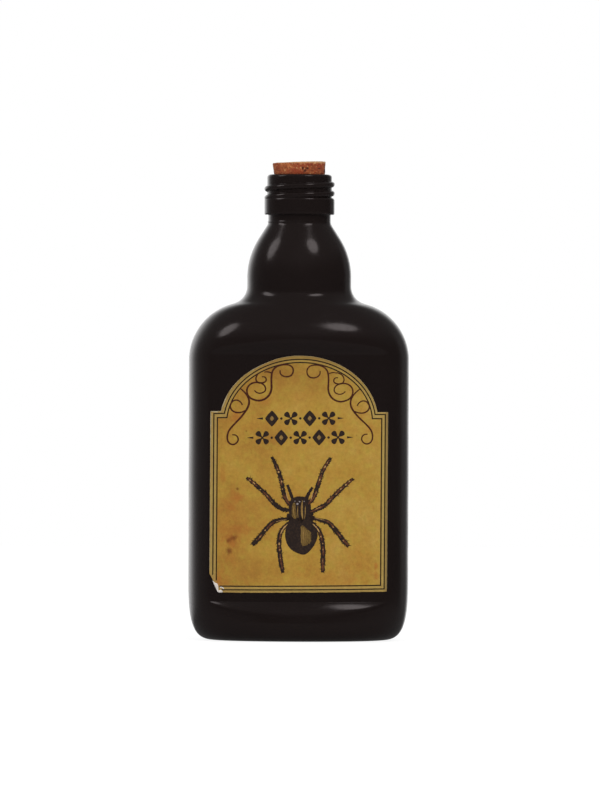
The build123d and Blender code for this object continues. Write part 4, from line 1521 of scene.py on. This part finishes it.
def dried_glue():
    """Starch glue, brushed on and dried: dull, yellowish, slightly glossy where it is thick."""
    material, tree = new_material("dried_glue")
    place = add(tree, "TexCoord").outputs["Object"]
    streaks = add(tree, "TexNoise", {"Vector": place, "Scale": fine(2.5), "Detail": 4.0})
    ramp = add(tree, "ValToRGB", {"Fac": streaks})
    set_ramp(ramp, ((0.35, "#8C8068"), (0.65, "#A39A82")))
    surface = add(tree, "BsdfPrincipled", {"Base Color": ramp, "Roughness": 0.5})
    finish_material(tree, surface)
    return material


# Studio

# Camera's height and distance, the height and middle that the picture shows, and its turn in degrees
EYE_HEIGHT = 110.0
EYE_DISTANCE = 3100.0
PICTURE_HEIGHT = 324.0
PICTURE_MIDDLE = (0.466, 97.06)
ROLL = 0.2
SENSOR = 24.0


def make_camera():
    """Long lens a little above the bottle, looking down at its middle."""
    data = bpy.data.cameras.new("camera")
    camera = bpy.data.objects.new("camera", data)
    bpy.context.scene.collection.objects.link(camera)
    middle = Vector((PICTURE_MIDDLE[0], 0, PICTURE_MIDDLE[1])) * MM
    camera.location = Vector((PICTURE_MIDDLE[0], -EYE_DISTANCE, EYE_HEIGHT)) * MM
    aim = (middle - camera.location).to_track_quat("-Z", "Y")
    camera.rotation_euler = (aim @ Quaternion((0, 0, 1), math.radians(ROLL))).to_euler()
    data.sensor_fit = "VERTICAL"
    data.sensor_height = SENSOR
    data.lens = SENSOR * EYE_DISTANCE / PICTURE_HEIGHT
    data.clip_end = 50
    bpy.context.scene.camera = camera


# Lamps: azimuth in degrees, 0 on the camera's side and growing to the right, and elevation; distance, then
# width and height, in metres; power in watts; and whether the glass shows them
LAMPS = (
    ("lamp_right", 43, 49.5, 1.6, (0.6, 0.66), 2.3, True),
    ("lamp_left", -80, 39, 1.6, (0.56, 0.84), 2.3, True),
    ("lamp_front", 5, 30, 2.6, (2.0, 2.0), 26, False),
)
LAMP_AIM = (0, 0, 0.1)


def make_lamp(name, azimuth, elevation, distance, size, power, glossy):
    """Oval soft lamp aimed at the bottle's middle."""
    data = bpy.data.lights.new(name, "AREA")
    data.shape = "ELLIPSE"
    data.size, data.size_y = size
    data.energy = power
    lamp = bpy.data.objects.new(name, data)
    bpy.context.scene.collection.objects.link(lamp)
    a, e = math.radians(azimuth), math.radians(elevation)
    away = Vector((math.sin(a) * math.cos(e), -math.cos(a) * math.cos(e), math.sin(e)))
    lamp.location = Vector(LAMP_AIM) + away * distance
    lamp.rotation_euler = (-away).to_track_quat("-Z", "Y").to_euler()
    lamp.visible_glossy = glossy
    lamp.visible_camera = False


# Light of the white studio as the glass shows it: degrees round from straight behind the bottle, left
# below zero, and its strength there. In front the room is dark.
STUDIO = (
    (-150, 0.02), (-105, 0.03), (-88, 0.05), (-78, 0.075), (-67, 0.1), (-60, 0.15), (-54, 0.21), (-50, 0.3),
    (-46, 0.4), (-41, 0.6), (-36, 0.8), (-31, 1.0), (0, 1.0), (12, 0.95), (20, 0.4), (28, 0.16), (35, 0.11),
    (47, 0.13), (52, 0.1), (56, 0.05), (62, 0.02), (150, 0.02),
)
CEILING = 0.09
TABLE = 0.1
# Strength of the studio in the glass, and of the even light that falls on everything
REFLECTED = 1.05
FILL = 0.55


def make_world():
    """White studio behind the bottle and dark in front of it, with a dim ceiling and table top."""
    world = bpy.data.worlds.new("studio")
    bpy.context.scene.world = world
    world.use_nodes = True
    tree = world.node_tree
    tree.nodes.clear()
    direction = add(tree, "TexCoord").outputs["Generated"]
    split = add(tree, "SeparateXYZ", {"Vector": direction})
    up = split.outputs["Z"]
    turn = add(tree, "Math", {0: split.outputs["X"], 1: split.outputs["Y"]}, operation="ARCTAN2")
    place = add(
        tree, "MapRange",
        {"Value": turn, "From Min": -math.pi, "From Max": math.pi, "To Min": 0.0, "To Max": 1.0},
    )
    tone = add(tree, "ValToRGB", {"Fac": place})
    set_ramp(tone, [(0.5 + degrees / 360, strength) for degrees, strength in STUDIO])
    # Ceiling and table top, by how steeply up or down the ray goes: where from, where to, and strength
    for start, end, strength in ((0.16, 0.6, CEILING), (-0.03, -0.16, TABLE)):
        share = add(
            tree, "MapRange",
            {"Value": up, "From Min": start, "From Max": end, "To Min": 0.0, "To Max": 1.0},
            interpolation_type="SMOOTHSTEP",
        )
        tone = add(
            tree, "Mix",
            {"Factor": share, "A": tone, "B": (strength, strength, strength, 1)}, data_type="RGBA",
        )
    light = add(tree, "LightPath")
    glossy = add(tree, "Background", {"Color": tone, "Strength": REFLECTED})
    fill = add(tree, "Background", {"Color": linear("#FFFFFF"), "Strength": FILL})
    white = add(tree, "Background", {"Color": linear("#FFFFFF"), "Strength": 1.0})
    shiny = add(tree, "MixShader", {0: light.outputs["Is Glossy Ray"], 1: fill, 2: glossy})
    seen = add(tree, "MixShader", {0: light.outputs["Is Camera Ray"], 1: shiny, 2: white})
    add(tree, "OutputWorld", {"Surface": seen})


# White that the sweep sends to the eye by itself, and its share of paper that takes light and shadow
SWEEP_GLOW = 0.89
SWEEP_PAPER = 0.25


def white_sweep():
    """White paper sweep: white to the eye, with a soft shadow under the bottle; glass shows the studio."""
    material, tree = new_material("white_sweep")
    light = add(tree, "LightPath")
    paper = add(tree, "BsdfDiffuse", {"Color": linear("#E8E8E8")})
    glow = SWEEP_GLOW / (1 - SWEEP_PAPER)
    white = add(tree, "Emission", {"Color": linear("#FFFFFF"), "Strength": glow})
    clear = add(tree, "BsdfTransparent")
    share = add(tree, "Math", {0: light.outputs["Is Camera Ray"], 1: 1 - SWEEP_PAPER}, operation="MULTIPLY")
    mixed = add(tree, "MixShader", {0: share, 1: paper, 2: white})
    seen = add(tree, "MixShader", {0: light.outputs["Is Glossy Ray"], 1: mixed, 2: clear})
    finish_material(tree, seen)
    return material


# Half width of the floor, and its drop below the standing plane, which keeps it clear of the bottle's foot
FLOOR_HALF_WIDTH = 1600
FLOOR_DROP = 0.2


def make_floor():
    """Sheet of the sweep that the bottle stands on."""
    mesh = bpy.data.meshes.new("floor")
    far = FLOOR_HALF_WIDTH * MM
    mesh.from_pydata([(-far, -far, 0), (far, -far, 0), (far, far, 0), (-far, far, 0)], [], [(0, 1, 2, 3)])
    floor = bpy.data.objects.new("floor", mesh)
    floor.location.z = -FLOOR_DROP * MM
    bpy.context.scene.collection.objects.link(floor)
    mesh.materials.append(white_sweep())


make_bottle(black_glass())
make_cork(natural_cork())
make_label(aged_paper())
paint_adhesive(dried_glue())

# Films of ink and of bared paper on the label: piece, material, height over the sheet's face, colour, its
# speckle's colour, and roughness. Ink that has soaked in and paper that has lost its skin are both matte.
FILMS = (
    # Core of the sheet, bared where its cut edge is rubbed: loose fibres, paler and duller than the face
    ("label_worn_edge", "paper_core", 0.015, "#A39472", "#BFB290", 0.8),
    # Black letterpress ink of the rules, rolled on and pressed: nearly black, browner where it is thin
    ("label_border", "border_ink", 0.02, "#1E150D", "#34261A", 0.6),
    # Red-brown letterpress ink of the scrolls: warmer and a little lighter than the rules
    ("label_scrolls", "brown_ink", 0.025, "#3E190D", "#5A2C13", 0.6),
    # Black ink of the picture and the ornaments, printed from a cut block: dark brown where it has worn thin
    ("label_picture", "black_ink", 0.03, "#291E1A", "#3A2A20", 0.6),
    # Brown wash, brushed on over the block's ink: red brown, uneven where it pooled
    ("label_picture_washes", "brown_wash", 0.04, "#522C1B", "#734A30", 0.7),
    # Olive wash in the lit windows, brushed thin, so that the yellow paper glows through
    ("label_picture_window", "olive_wash", 0.042, "#5A4420", "#7E6430", 0.7),
    # Lines cut away from the block, so that paper shows between the hatching: tan, dulled by ink beside it
    ("label_picture_hatching", "tan_lines", 0.052, "#94753F", "#77592E", 0.7),
    # Marks that the block left bare on the legs: the paper's colour, reddened by the wash round it
    ("label_picture_lines", "bare_marks", 0.05, "#B59058", "#9A6C48", 0.72),
    # Pale grey ink of the eyes' glints, dabbed on with a fine brush: the coolest tone on the sheet
    ("label_picture_eyes", "pale_ink", 0.06, "#A39A98", "#7E7270", 0.6),
)
prints = {piece: Print(lift) for piece, _, lift, *_ in FILMS}
edge_wear(prints["label_worn_edge"])
print_border(prints["label_border"])
print_scrolls(prints["label_scrolls"])
print_ornaments(prints["label_picture"], prints["label_picture_hatching"])
print_spider(
    prints["label_picture"], prints["label_picture_lines"], prints["label_picture_washes"],
    prints["label_picture_eyes"], prints["label_picture_window"], prints["label_picture_hatching"],
)
for piece, material, _, colour, speckle, roughness in FILMS:
    prints[piece].make(piece, plain_paint(material, colour, speckle, roughness))
# Underside of the sheet, never printed and kept from the light by the glue: the palest paper, with a soft nap
make_corner_curl(plain_paint("paper_underside", "#DDD6CF", "#C9BFB6", 0.8))

make_floor()
make_world()
make_camera()
for lamp in LAMPS:
    make_lamp(*lamp)

bpy.context.scene.view_settings.view_transform = "Standard"
